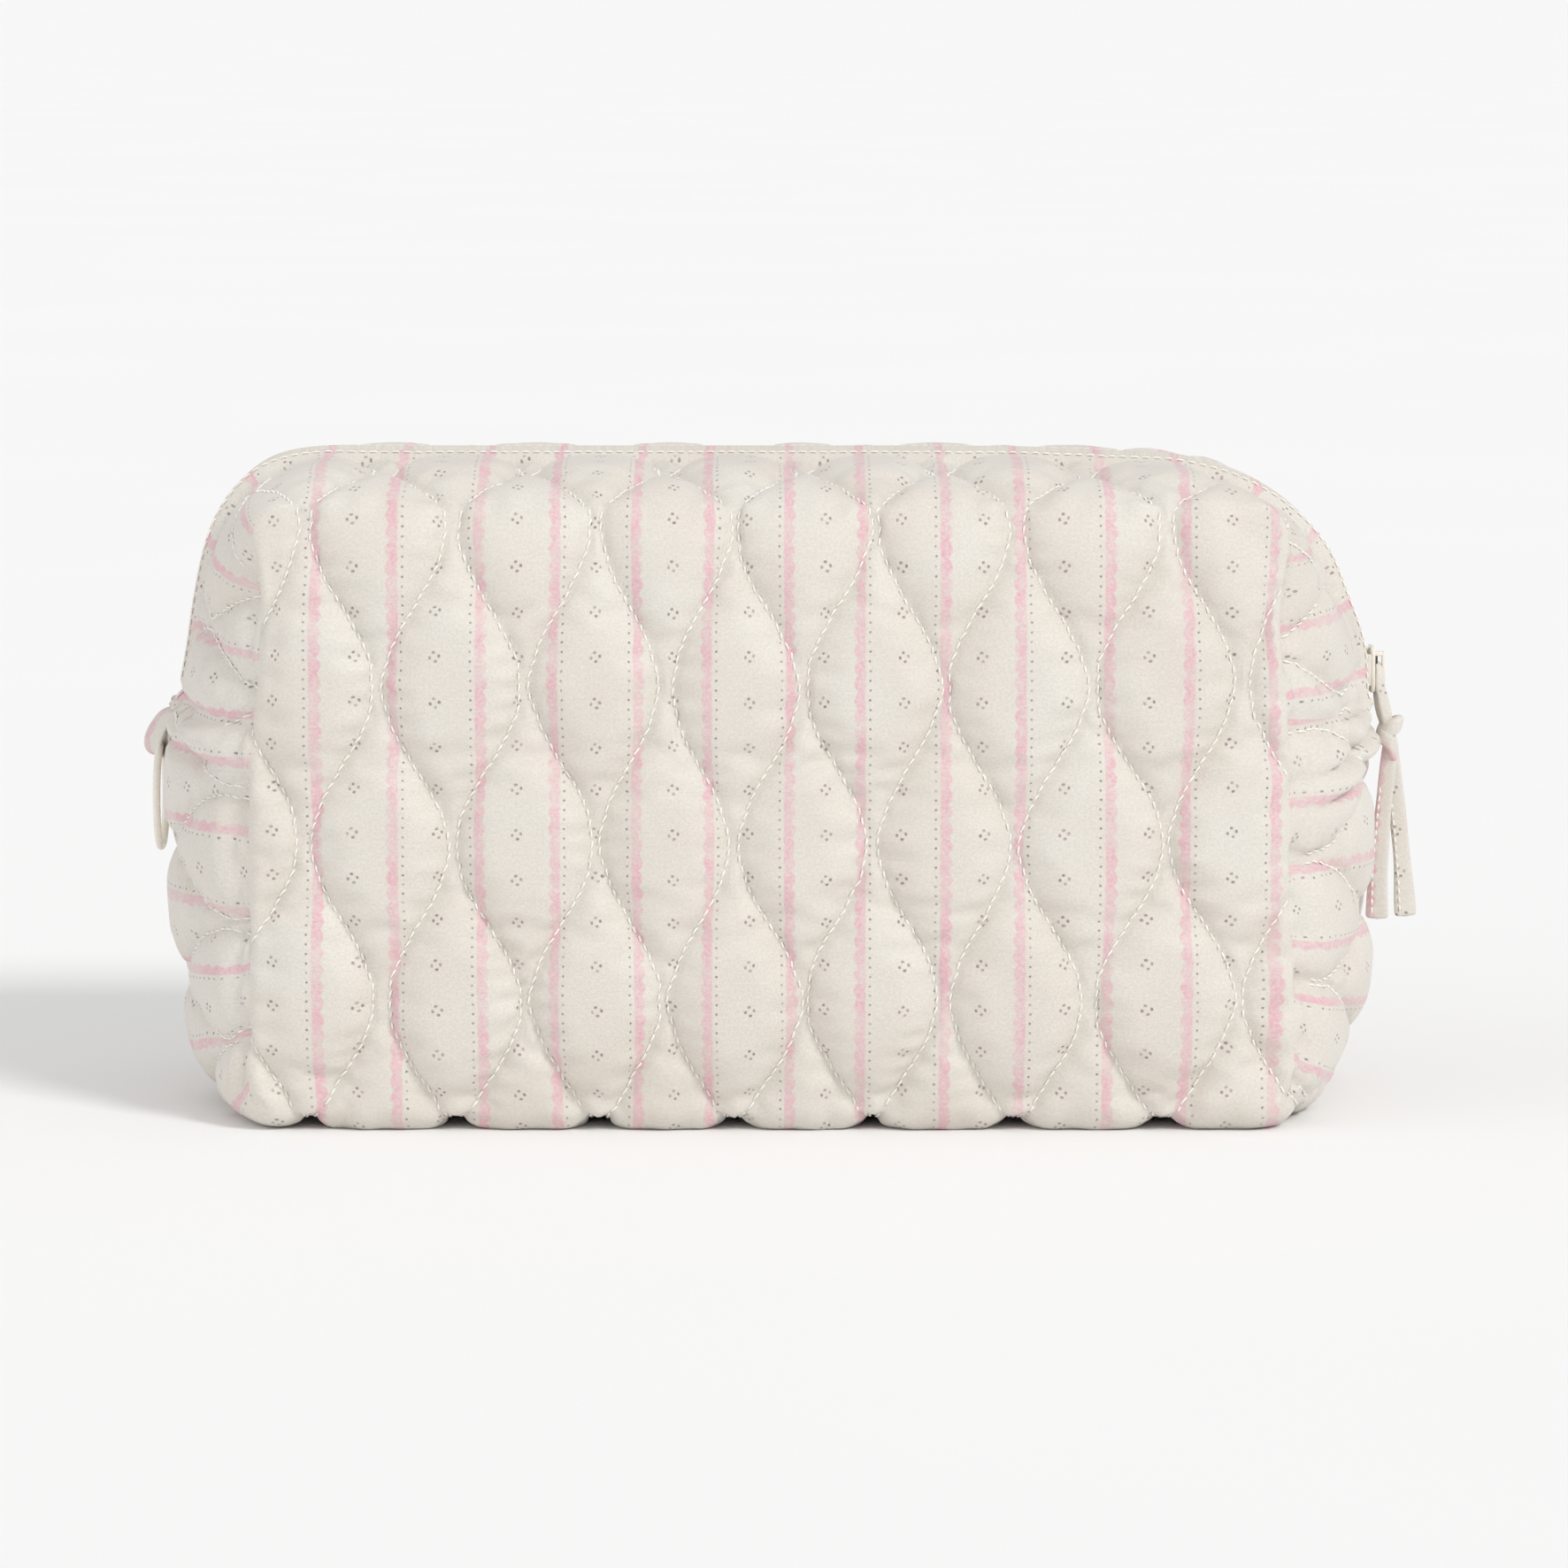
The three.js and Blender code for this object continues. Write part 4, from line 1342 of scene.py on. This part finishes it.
def tape(name, side, nodes):
    """One zip tape: a thin flat strip with a rounded cord at its inner edge."""
    points, outs, _ = zip_run(2.2)
    near, far = 0.9, SLOT_HALF + 0.4
    section = [(near, -0.1), (near + 0.5, 0.0), (far, 0.0), (far, -TAPE_THICK),
               (near + 0.4, -TAPE_THICK), (near, -TAPE_THICK + 0.1)]
    rings = []
    for (x, z), (out_x, out_z) in zip(points, outs):
        rings.append([(x + out_x * (h - TAPE_UNDER), side * y, z + out_z * (h - TAPE_UNDER))
                      for y, h in section])
    piece = loft(name, rings, tape_cloth, smooth=False)
    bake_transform(piece)
    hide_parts(*nodes)
    return piece


COIL_PITCH = 1.42
COIL_WIRE = 0.3
COIL_TURN_POINTS = 9
COIL_END_GAP = 1.8  # the coil stops this far short of each end of the run


def coil(name, side, nodes):
    """One nylon coil: a flattened helix whose loops reach just past the middle."""
    points, outs, along = zip_run(0.7)
    turns = (along[-1] - 2 * COIL_END_GAP) / COIL_PITCH
    steps = int(turns * COIL_TURN_POINTS)
    angle = np.arange(steps) * 2 * math.pi / COIL_TURN_POINTS
    place = COIL_END_GAP + angle * COIL_PITCH / (2 * math.pi) + (0.5 * COIL_PITCH if side > 0 else 0)
    x = np.interp(place, along, points[:, 0])
    z = np.interp(place, along, points[:, 1])
    out_x = np.interp(place, along, outs[:, 0])
    out_z = np.interp(place, along, outs[:, 1])
    height = 0.62 * np.sin(angle) - 1.72
    y = side * (1.25 + 1.45 * np.cos(angle))
    line = np.stack([x + out_x * height, y, z + out_z * height], 1)
    ahead = np.gradient(line, axis=0)
    ahead /= np.linalg.norm(ahead, axis=1)[:, None]
    side_way = np.cross(ahead, np.stack([out_x, np.zeros(steps), out_z], 1))
    norm = np.linalg.norm(side_way, axis=1)[:, None]
    side_way = side_way / np.maximum(norm, 1e-6)
    up = np.cross(side_way, ahead)
    corners = np.arange(5) * 2 * math.pi / 5
    rings = []
    for middle, wide, tall_way in zip(line, side_way, up):
        rings.append([middle + COIL_WIRE * (wide * math.cos(c) + tall_way * math.sin(c)) for c in corners])
    piece = loft(name, rings, nylon)
    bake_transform(piece)
    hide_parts(*nodes)
    return piece


for label, side in (("front", -1), ("back", 1)):
    ends = [f"right_{label}_tape_end", f"left_{label}_tape_end"]
    tape(f"{label}_tape", side, [f"{label}_zip_tape"] + ends)
    ends = [f"right_{label}_coil_end", f"left_{label}_coil_end"]
    coil(f"{label}_coil", side, [f"{label}_zip_coil"] + ends)
run_length = float(zip_run(1)[2][-1])
print("zip run:", round(run_length), "mm, loops on each coil:", round(run_length / COIL_PITCH))

# %% [markdown]
# ## Slider
#
# The slider is cast metal with a cream enamel. An upper plate and an under plate hold the two
# coils between them, a wedge at one end parts the coils, and a low bridge over the upper plate
# holds the pull. Each plate starts as a cube whose two ends are extruded and drawn in, and it
# gets a thin ledge along each side that stands towards the coils. The parts are joined and then
# bevelled, because a cast part has soft corners everywhere.

# %% Cube helpers
def block(name, low, high, material):
    """A cube primitive stretched between two corners given in millimetres."""
    centre = [(a + b) / 2 * MM for a, b in zip(low, high)]
    bpy.ops.mesh.primitive_cube_add(size=1, location=centre)
    obj = bpy.context.object
    obj.name = name
    obj.data.name = name
    obj.scale = [(b - a) * MM for a, b in zip(low, high)]
    bpy.ops.object.transform_apply(location=True, rotation=True, scale=True)
    obj.data.materials.append(material)
    return obj


def select_faces(obj, wanted):
    """Selects the faces whose middle (in millimetres) and normal pass a test."""
    bpy.ops.object.mode_set(mode="EDIT")
    bpy.ops.mesh.select_mode(type="FACE")
    bpy.ops.mesh.select_all(action="DESELECT")
    bm = bmesh.from_edit_mesh(obj.data)
    for face in bm.faces:
        face.select = bool(wanted(face.calc_center_median() / MM, face.normal))
    bm.select_flush_mode()
    bmesh.update_edit_mesh(obj.data)


def join(name, pieces):
    pick(*pieces)
    bpy.ops.object.join()
    pieces[0].name = name
    pieces[0].data.name = name
    return pieces[0]


def smooth_by_angle(obj, degrees):
    pick(obj)
    bpy.ops.object.shade_smooth_by_angle(angle=math.radians(degrees))


print("cube helpers are ready")

# %% Slider plates, wedge and bridge
PLATE_HALF_WIDTH = 4.3
PLATE_HALF_LENGTH = 3.6  # before its ends are extruded
PLATE_END = 1.4
PLATE_END_NARROWING = 0.74
LEDGE_WIDTH = 0.75
x0, z0 = MIDDLE_HALF, shoulder_z


def slider_plate(name, outer, inner_face, ledge):
    """A plate between two distances out from the bag, with ledges that stand from its inner face."""
    low_x, high_x = sorted((x0 + outer, x0 + inner_face))
    plate = block(name, (low_x, -PLATE_HALF_WIDTH, z0 - PLATE_HALF_LENGTH),
                  (high_x, PLATE_HALF_WIDTH, z0 + PLATE_HALF_LENGTH), enamel)
    for way in (-1, 1):
        select_faces(plate, lambda middle, normal: normal.z * way > 0.9)
        bpy.ops.mesh.extrude_region_move(TRANSFORM_OT_translate={"value": (0, 0, way * PLATE_END * MM)})
        bpy.ops.transform.resize(value=(1, PLATE_END_NARROWING, 1))
        bpy.ops.object.mode_set(mode="OBJECT")
    ledge_root = x0 + inner_face - math.copysign(0.1, ledge)
    ledge_x = sorted((ledge_root, x0 + inner_face + ledge))
    ledges = []
    for side in (-1, 1):
        ledge_y = sorted((side * (PLATE_HALF_WIDTH - LEDGE_WIDTH), side * PLATE_HALF_WIDTH))
        ledges.append(block(name + "_ledge", (ledge_x[0], ledge_y[0], z0 - 3.5),
                            (ledge_x[1], ledge_y[1], z0 + 3.5), enamel))
    return join(name, [plate] + ledges)


upper = slider_plate("slider_upper", 1.6, 0.6, -1.1)
under = slider_plate("slider_under", -3.8, -2.8, 0.7)
wedge = block("slider_wedge", (x0 - 3.0, -0.35, z0 + 2.0), (x0 + 0.8, 0.35, z0 + 4.9), enamel)
bridge = block("slider_bridge", (x0 + 3.3, -1.2, z0 - 3.7), (x0 + 4.1, 1.2, z0 + 3.7), enamel)
feet = [block("slider_foot", (x0 + 1.4, -1.2, z0 + a), (x0 + 3.5, 1.2, z0 + b), enamel)
        for a, b in ((-3.7, -2.8), (2.8, 3.7))]
# a dark block in the gap under the bridge: partly bare metal, partly painted shade
well = block("slider_well", (x0 + 1.5, -1.1, z0 - 2.9), (x0 + 2.4, 1.1, z0 + 2.9), dark_metal_and_painted_shade)
slider = join("slider", [upper, under, wedge, bridge, well] + feet)
apply_modifier(slider, "BEVEL", width=0.28 * MM, segments=3, limit_method="ANGLE",
               angle_limit=math.radians(40))
smooth_by_angle(slider, 38)
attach(slider, "slider")
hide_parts("zip_slider")
print("slider:", len(slider.data.polygons), "faces")

# %% [markdown]
# ## Pull tie
#
# The pull is a narrow strip of the same cloth, turned in and sewn along its edge. It passes
# under the slider's bridge, is knotted once and ends in two tails. Each length of strip is a
# flattened oval carried along a path through listed points. The knot is one turn of strip round the
# others, with a second strand crossing under it.

# %% Strips of turned cloth
PIN = np.array([MIDDLE_HALF + 2.45, 0.0, shoulder_z])


def smooth_path(points, count):
    """Even places along a smooth curve through a few given points."""
    points = np.array(points, float)
    padded = np.concatenate([[2 * points[0] - points[1]], points, [2 * points[-1] - points[-2]]])
    out = []
    spans = len(points) - 1
    for i in range(spans):
        a, b, c, d = padded[i:i + 4]
        for t in np.linspace(0, 1, max(2, count // spans), endpoint=i == spans - 1):
            out.append(0.5 * (2 * b + (c - a) * t + (2 * a - 5 * b + 4 * c - d) * t**2
                              + (3 * b - a - 3 * c + d) * t**3))
    return np.array(out)


def strip_rings(path, widths, thicknesses, flat_way, sides=14, square=0.62):
    """Flattened oval rings along a path; flat_way is roughly the strip's width direction."""
    ahead = np.gradient(path, axis=0)
    ahead /= np.linalg.norm(ahead, axis=1)[:, None]
    flat_way = np.broadcast_to(np.array(flat_way, float), path.shape)
    wide = flat_way - (flat_way * ahead).sum(1)[:, None] * ahead
    wide /= np.linalg.norm(wide, axis=1)[:, None]
    thin = np.cross(ahead, wide)
    turn = np.arange(sides) * 2 * math.pi / sides
    c, s = np.cos(turn), np.sin(turn)
    c, s = np.sign(c) * np.abs(c) ** square, np.sign(s) * np.abs(s) ** square
    rings = []
    for i, place in enumerate(path):
        across_strip = 0.5 * widths[i] * np.outer(c, wide[i])
        through_strip = 0.5 * thicknesses[i] * np.outer(s, thin[i])
        rings.append(place + across_strip + through_strip)
    return rings


def strip(name, points, width, thickness, flat_way, uv_start, count=40, wobble=0.06, seed=1):
    """A strip of printed cloth along a path, a little uneven in width and thickness."""
    path = smooth_path(points, count)
    draw = np.random.default_rng(seed)
    phase = draw.uniform(0, 6, 4)
    t = np.linspace(0, 1, len(path))
    uneven = 1 + wobble * (np.sin(9 * t + phase[0]) + 0.6 * np.sin(17 * t + phase[1]))
    plump = 1 + 1.4 * wobble * (np.sin(11 * t + phase[2]) + 0.5 * np.sin(23 * t + phase[3]))
    widths = np.interp(t, np.linspace(0, 1, len(width)), width) * uneven
    thicknesses = np.interp(t, np.linspace(0, 1, len(thickness)), thickness) * plump
    rings = strip_rings(path, widths, thicknesses, flat_way)
    return loft(name, rings, sateen, uv_start=uv_start)


def tie_place(dx, y, down):
    """A place given from the pin: to the right, back and down, in millimetres."""
    return (PIN[0] + dx, y, PIN[2] - down)


PINK_U = PAIR_START + PINK_AT
NEAR_TAIL = [tie_place(2.9, -0.6, 12), tie_place(2.5, -1.3, 20), tie_place(1.4, -1.3, 32),
             tie_place(0.5, -1.2, 44), tie_place(0.35, -1.0, 55.3)]
FAR_TAIL = [tie_place(2.6, 0.6, 12), tie_place(3.6, 1.1, 20), tie_place(4.9, 1.3, 32),
            tie_place(6.1, 1.2, 44), tie_place(6.85, 1.0, 55)]
parts = [
    strip("strap_front", [tie_place(-0.1, -0.2, -1.3), tie_place(0.3, -1.5, 0.6), tie_place(0.5, -2.0, 4),
                          tie_place(1.6, -1.7, 9), tie_place(2.4, -0.9, 13)],
          [1.0, 2.2, 2.6, 2.6], [1.0, 1.3, 1.4, 1.7], (1, 0.4, 0), (PINK_U - 9, 3), seed=2),
    strip("strap_back", [tie_place(-0.1, 0.2, -1.3), tie_place(0.2, 1.5, 0.6), tie_place(0.2, 2.0, 4),
                         tie_place(1.1, 1.7, 9), tie_place(2.2, 0.9, 13)],
          [1.0, 2.2, 2.6, 2.6], [1.0, 1.3, 1.4, 1.7], (1, -0.4, 0), (PINK_U + 6, 3), seed=3),
    strip("near_tail", NEAR_TAIL, [2.6, 3.2, 3.9, 4.4, 4.7], [1.9, 1.7, 1.6, 1.4, 1.3],
          (1, -0.12, 0), (PINK_U - 4.0, 10), seed=4),
    strip("far_tail", FAR_TAIL, [2.6, 3.1, 3.7, 4.3, 4.7], [1.9, 1.7, 1.6, 1.4, 1.3],
          (1, 0.1, 0), (PAIR_START - 3.2, 4), seed=5),
    strip("crossing", [tie_place(1.2, 1.6, 13.2), tie_place(1.0, -1.9, 14.6), tie_place(2.8, -2.7, 16.4),
                       tie_place(3.6, -1.4, 19.2), tie_place(3.1, 0.4, 20.8)],
          [2.4, 3.0, 3.0, 2.2], [1.6, 2.0, 1.9, 1.4], (0.2, 0.1, 1), (PINK_U - 4, 20), seed=6),
]
wrap_path = []
for a in np.linspace(0, 2 * math.pi, 25)[:-1]:
    wrap_path.append(tie_place(2.5 + 2.0 * math.cos(a) + 0.3, 2.1 * math.sin(a), 13.0 - 1.1 * math.cos(a)))
wrap_path += wrap_path[:1]
parts.append(strip("wrap", wrap_path, [3.6, 3.9, 3.6], [1.9, 2.2, 1.9], (0.25, 0, 1),
                   (PAIR_START + 1, 0), count=48, wobble=0.05, seed=7))
for part in parts:
    apply_modifier(part, "SUBSURF", levels=1, render_levels=1)
tie = join("pull_tie_cloth", parts)
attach(tie, "tie")
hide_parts("pull_tie")
print("pull tie:", len(tie.data.polygons), "faces")

# %% Stitching along the two tails
TAIL_STITCH = 1.35
TAIL_STITCH_PITCH = 1.9
TAIL_EDGE = np.array([-1.25, -0.78, 0.0])  # from the middle of a tail to its stitched edge
TOWARDS_FRONT = np.array([0.0, -1.0, 0.0])


def edge_stitches(points):
    """Small stitches down the left edge of a tail, from a little below the knot."""
    path = smooth_path(points, 80)
    length = np.concatenate([[0], np.cumsum(np.linalg.norm(np.diff(path, axis=0), axis=1))])
    for start in np.arange(6, length[-1] - 1.6, TAIL_STITCH_PITCH):
        ends = []
        for far in (start, start + TAIL_STITCH):
            place = np.array([np.interp(far, length, path[:, i]) for i in range(3)])
            ends.append((place + TAIL_EDGE, TOWARDS_FRONT))
        yield tuple(ends)


near_edge = NEAR_TAIL[1:-1] + [tie_place(0.35, -1.0, 55)]
tail_stitches = list(edge_stitches(near_edge)) + list(edge_stitches(FAR_TAIL[1:]))
tie_stitches = stitch_mesh("tie_stitches", tail_stitches)
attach(tie_stitches, "tie")
print("tail stitches:", len(tie_stitches.data.polygons), "faces")

# %% [markdown]
# ## Ring and its tab
#
# A small enamelled ring hangs at the left end from a tab of the bag's cloth, folded double and
# caught in the end seam. The ring is a round section spun about its middle. The tab is a strip
# carried round the ring's wire and back.

# %% Ring
RING_EYE = np.array([-MIDDLE_HALF - 2.95, 0.0, 77.15])
RING_OUTER = 12.0
RING_WIRE = 1.7


def ring_of_metal():
    """A small circle stood on edge at the ring's top, then spun through a full turn."""
    middle = Vector((RING_EYE[0], 0, RING_EYE[2] - RING_OUTER + RING_WIRE / 2)) * MM
    top = Vector((RING_EYE[0], 0, RING_EYE[2])) * MM
    bpy.ops.mesh.primitive_circle_add(vertices=16, radius=RING_WIRE / 2 * MM, location=top)
    obj = bpy.context.object
    bpy.ops.object.transform_apply(location=True, rotation=True, scale=True)
    bpy.ops.object.mode_set(mode="EDIT")
    bpy.ops.mesh.select_all(action="SELECT")
    bpy.ops.transform.rotate(value=math.pi / 2, orient_axis="X", center_override=top)
    bpy.ops.mesh.spin(steps=72, angle=2 * math.pi, center=middle, axis=(1, 0, 0), dupli=False)
    bpy.ops.mesh.select_all(action="SELECT")
    bpy.ops.mesh.remove_doubles(threshold=0.02 * MM)
    bpy.ops.mesh.normals_make_consistent(inside=False)
    bpy.ops.object.mode_set(mode="OBJECT")
    obj.name = "ring_metal"
    obj.data.name = "ring_metal"
    obj.data.materials.append(enamel)
    smooth_by_angle(obj, 60)
    return obj


ring = ring_of_metal()
ring_size = np.ptp(coordinates(ring.data), axis=0) / MM
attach(ring, "ring")
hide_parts("side_ring")
print("ring size:", [round(float(n), 1) for n in ring_size], "mm")

# %% Tab
def tab_place(dx, dz):
    """A place given from the top of the ring's wire: to the right and up, in millimetres."""
    return (RING_EYE[0] + dx, 0.0, RING_EYE[2] + dz)


tab_path = [tab_place(6.0, 6.6), tab_place(3.6, 7.6), tab_place(1.4, 6.6), tab_place(-0.3, 4.2),
            tab_place(-1.5, 1.6), tab_place(-1.6, -0.7), tab_place(0.0, -1.75), tab_place(1.5, -0.8),
            tab_place(1.45, 1.4), tab_place(2.5, 3.9), tab_place(5.6, 4.9)]
path = smooth_path(tab_path, 80)
t = np.linspace(0, 1, len(path))
twist = np.radians(-34) * np.sin(math.pi * np.clip(t * 1.1, 0, 1)) ** 0.7
tab_way = np.stack([np.sin(twist), np.cos(twist), np.zeros(len(t))], 1)
tab_widths = np.interp(t, [0, 0.15, 0.35, 0.55, 0.8, 1], [7.6, 8.0, 7.9, 7.2, 7.0, 7.0])
tab_rings = strip_rings(path, tab_widths, np.full(len(t), 0.95), tab_way, sides=16, square=0.45)
tab = loft("ring_tab_cloth", tab_rings, sateen, uv_start=(PINK_U - 13.6, 6))
apply_modifier(tab, "SUBSURF", levels=1, render_levels=1)
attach(tab, "bag")
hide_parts("ring_tab")
print("tab:", len(tab.data.polygons), "faces")

# %% [markdown]
# ## Bindings and stops
#
# Inside each end a folded tape binds the raw edges of the end seam. It is a soft flat strip
# bent over the seam, so it is another section carried along, this time from front to back. The
# three little metal stops of the zip keep their frame shapes and only get their finish.

# %% End bindings
BINDING_SECTION = [
    # how far out from its middle, and how high
    (0.55, 79.9), (0.62, 83), (0.55, 85.9), (0.0, 86.3),
    (-0.5, 85.6), (-0.62, 83), (-0.55, 80.4), (0.0, 79.7),
]


def binding(name, end, node):
    """A folded tape along the inside of one end's seam, with a slight wave in its lower edge."""
    rings = []
    for y in np.linspace(-40, 40, 41):
        loop, _ = outline(y, 5.6)
        side = loop[np.sign(loop[:, 0]) == end]
        near = side[np.argmin(np.abs(side[:, 1] - 83))]
        sway = 0.25 * math.sin(y * 0.31) + 0.15 * math.sin(y * 0.83)
        x = near[0] - end * 4.8
        rings.append([(x + end * (out + 0.3 * sway * (z < 82)), y, z) for out, z in BINDING_SECTION])
    piece = loft(name, rings, tape_cloth)
    apply_modifier(piece, "SUBSURF", levels=1, render_levels=1)
    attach(piece, "bag")
    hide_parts(node)
    return piece


binding("right_binding_tape", 1, "right_end_binding")
binding("left_binding_tape", -1, "left_end_binding")
for name in ("zip_top_stop_front", "zip_top_stop_back", "zip_bottom_stop"):
    node = bpy.data.objects[name]
    node.data.materials.clear()
    node.data.materials.append(steel)
print("bindings and stops are on")

# %% [markdown]
# ## Stage and light
#
# The bag stands on a wide white floor. A white sky fills the shadows, and one large soft lamp,
# far off to the upper right and in front, brings out the pads: it lights the upper right of each
# one and lays a soft shadow on the floor to the left. A weak, very soft lamp from the left keeps
# that end from going grey. Sun lamps are used, because they light the wide floor evenly.

# %% Floor
bpy.ops.mesh.primitive_plane_add(size=600, location=(0, 0, 0))
floor = bpy.context.object
floor.name = "floor"
floor_paint, floor_tree, floor_shader = new_material("white_floor")
floor_tone = ramp(floor_tree, noise(floor_tree, object_place(floor_tree), 3, 2), 0.3, 0.7)
floor_colour = blend_colour(floor_tree, floor_tone, srgb(247, 247, 247), srgb(248, 248, 248))
floor_tree.links.new(floor_colour, floor_shader.inputs["Base Color"])
floor_shader.inputs["Roughness"].default_value = 0.9
floor_shader.inputs["Specular IOR Level"].default_value = 0.0
floor.data.materials.append(floor_paint)
print("floor is laid")

# %% Sky and lamp
SKY = 0.685
LAMP = 1.35
FILL = 0.35
world = bpy.data.worlds.new("sky")
bpy.context.scene.world = world
world.use_nodes = True
world.node_tree.nodes["Background"].inputs["Color"].default_value = (1, 1, 1, 1)
world.node_tree.nodes["Background"].inputs["Strength"].default_value = SKY


def add_lamp(name, energy, softness, colour, place):
    """A sun lamp that shines from a place towards the bag."""
    lamp_data = bpy.data.lights.new(name, "SUN")
    lamp_data.energy = energy
    lamp_data.angle = math.radians(softness)
    lamp_data.color = colour
    lamp = bpy.data.objects.new(name, lamp_data)
    bpy.context.scene.collection.objects.link(lamp)
    lamp.location = place
    lamp.rotation_euler = (-Vector(place)).to_track_quat("-Z", "Y").to_euler()


add_lamp("main_lamp", LAMP, 16, (1.0, 0.997, 0.99), (0.95, -1.05, 1.2))
add_lamp("fill_lamp", FILL, 60, (1.0, 1.0, 1.0), (-1.2, -0.5, 0.45))
bpy.context.scene.view_settings.view_transform = "Standard"
print("sky", SKY, "lamp", LAMP, "fill", FILL)
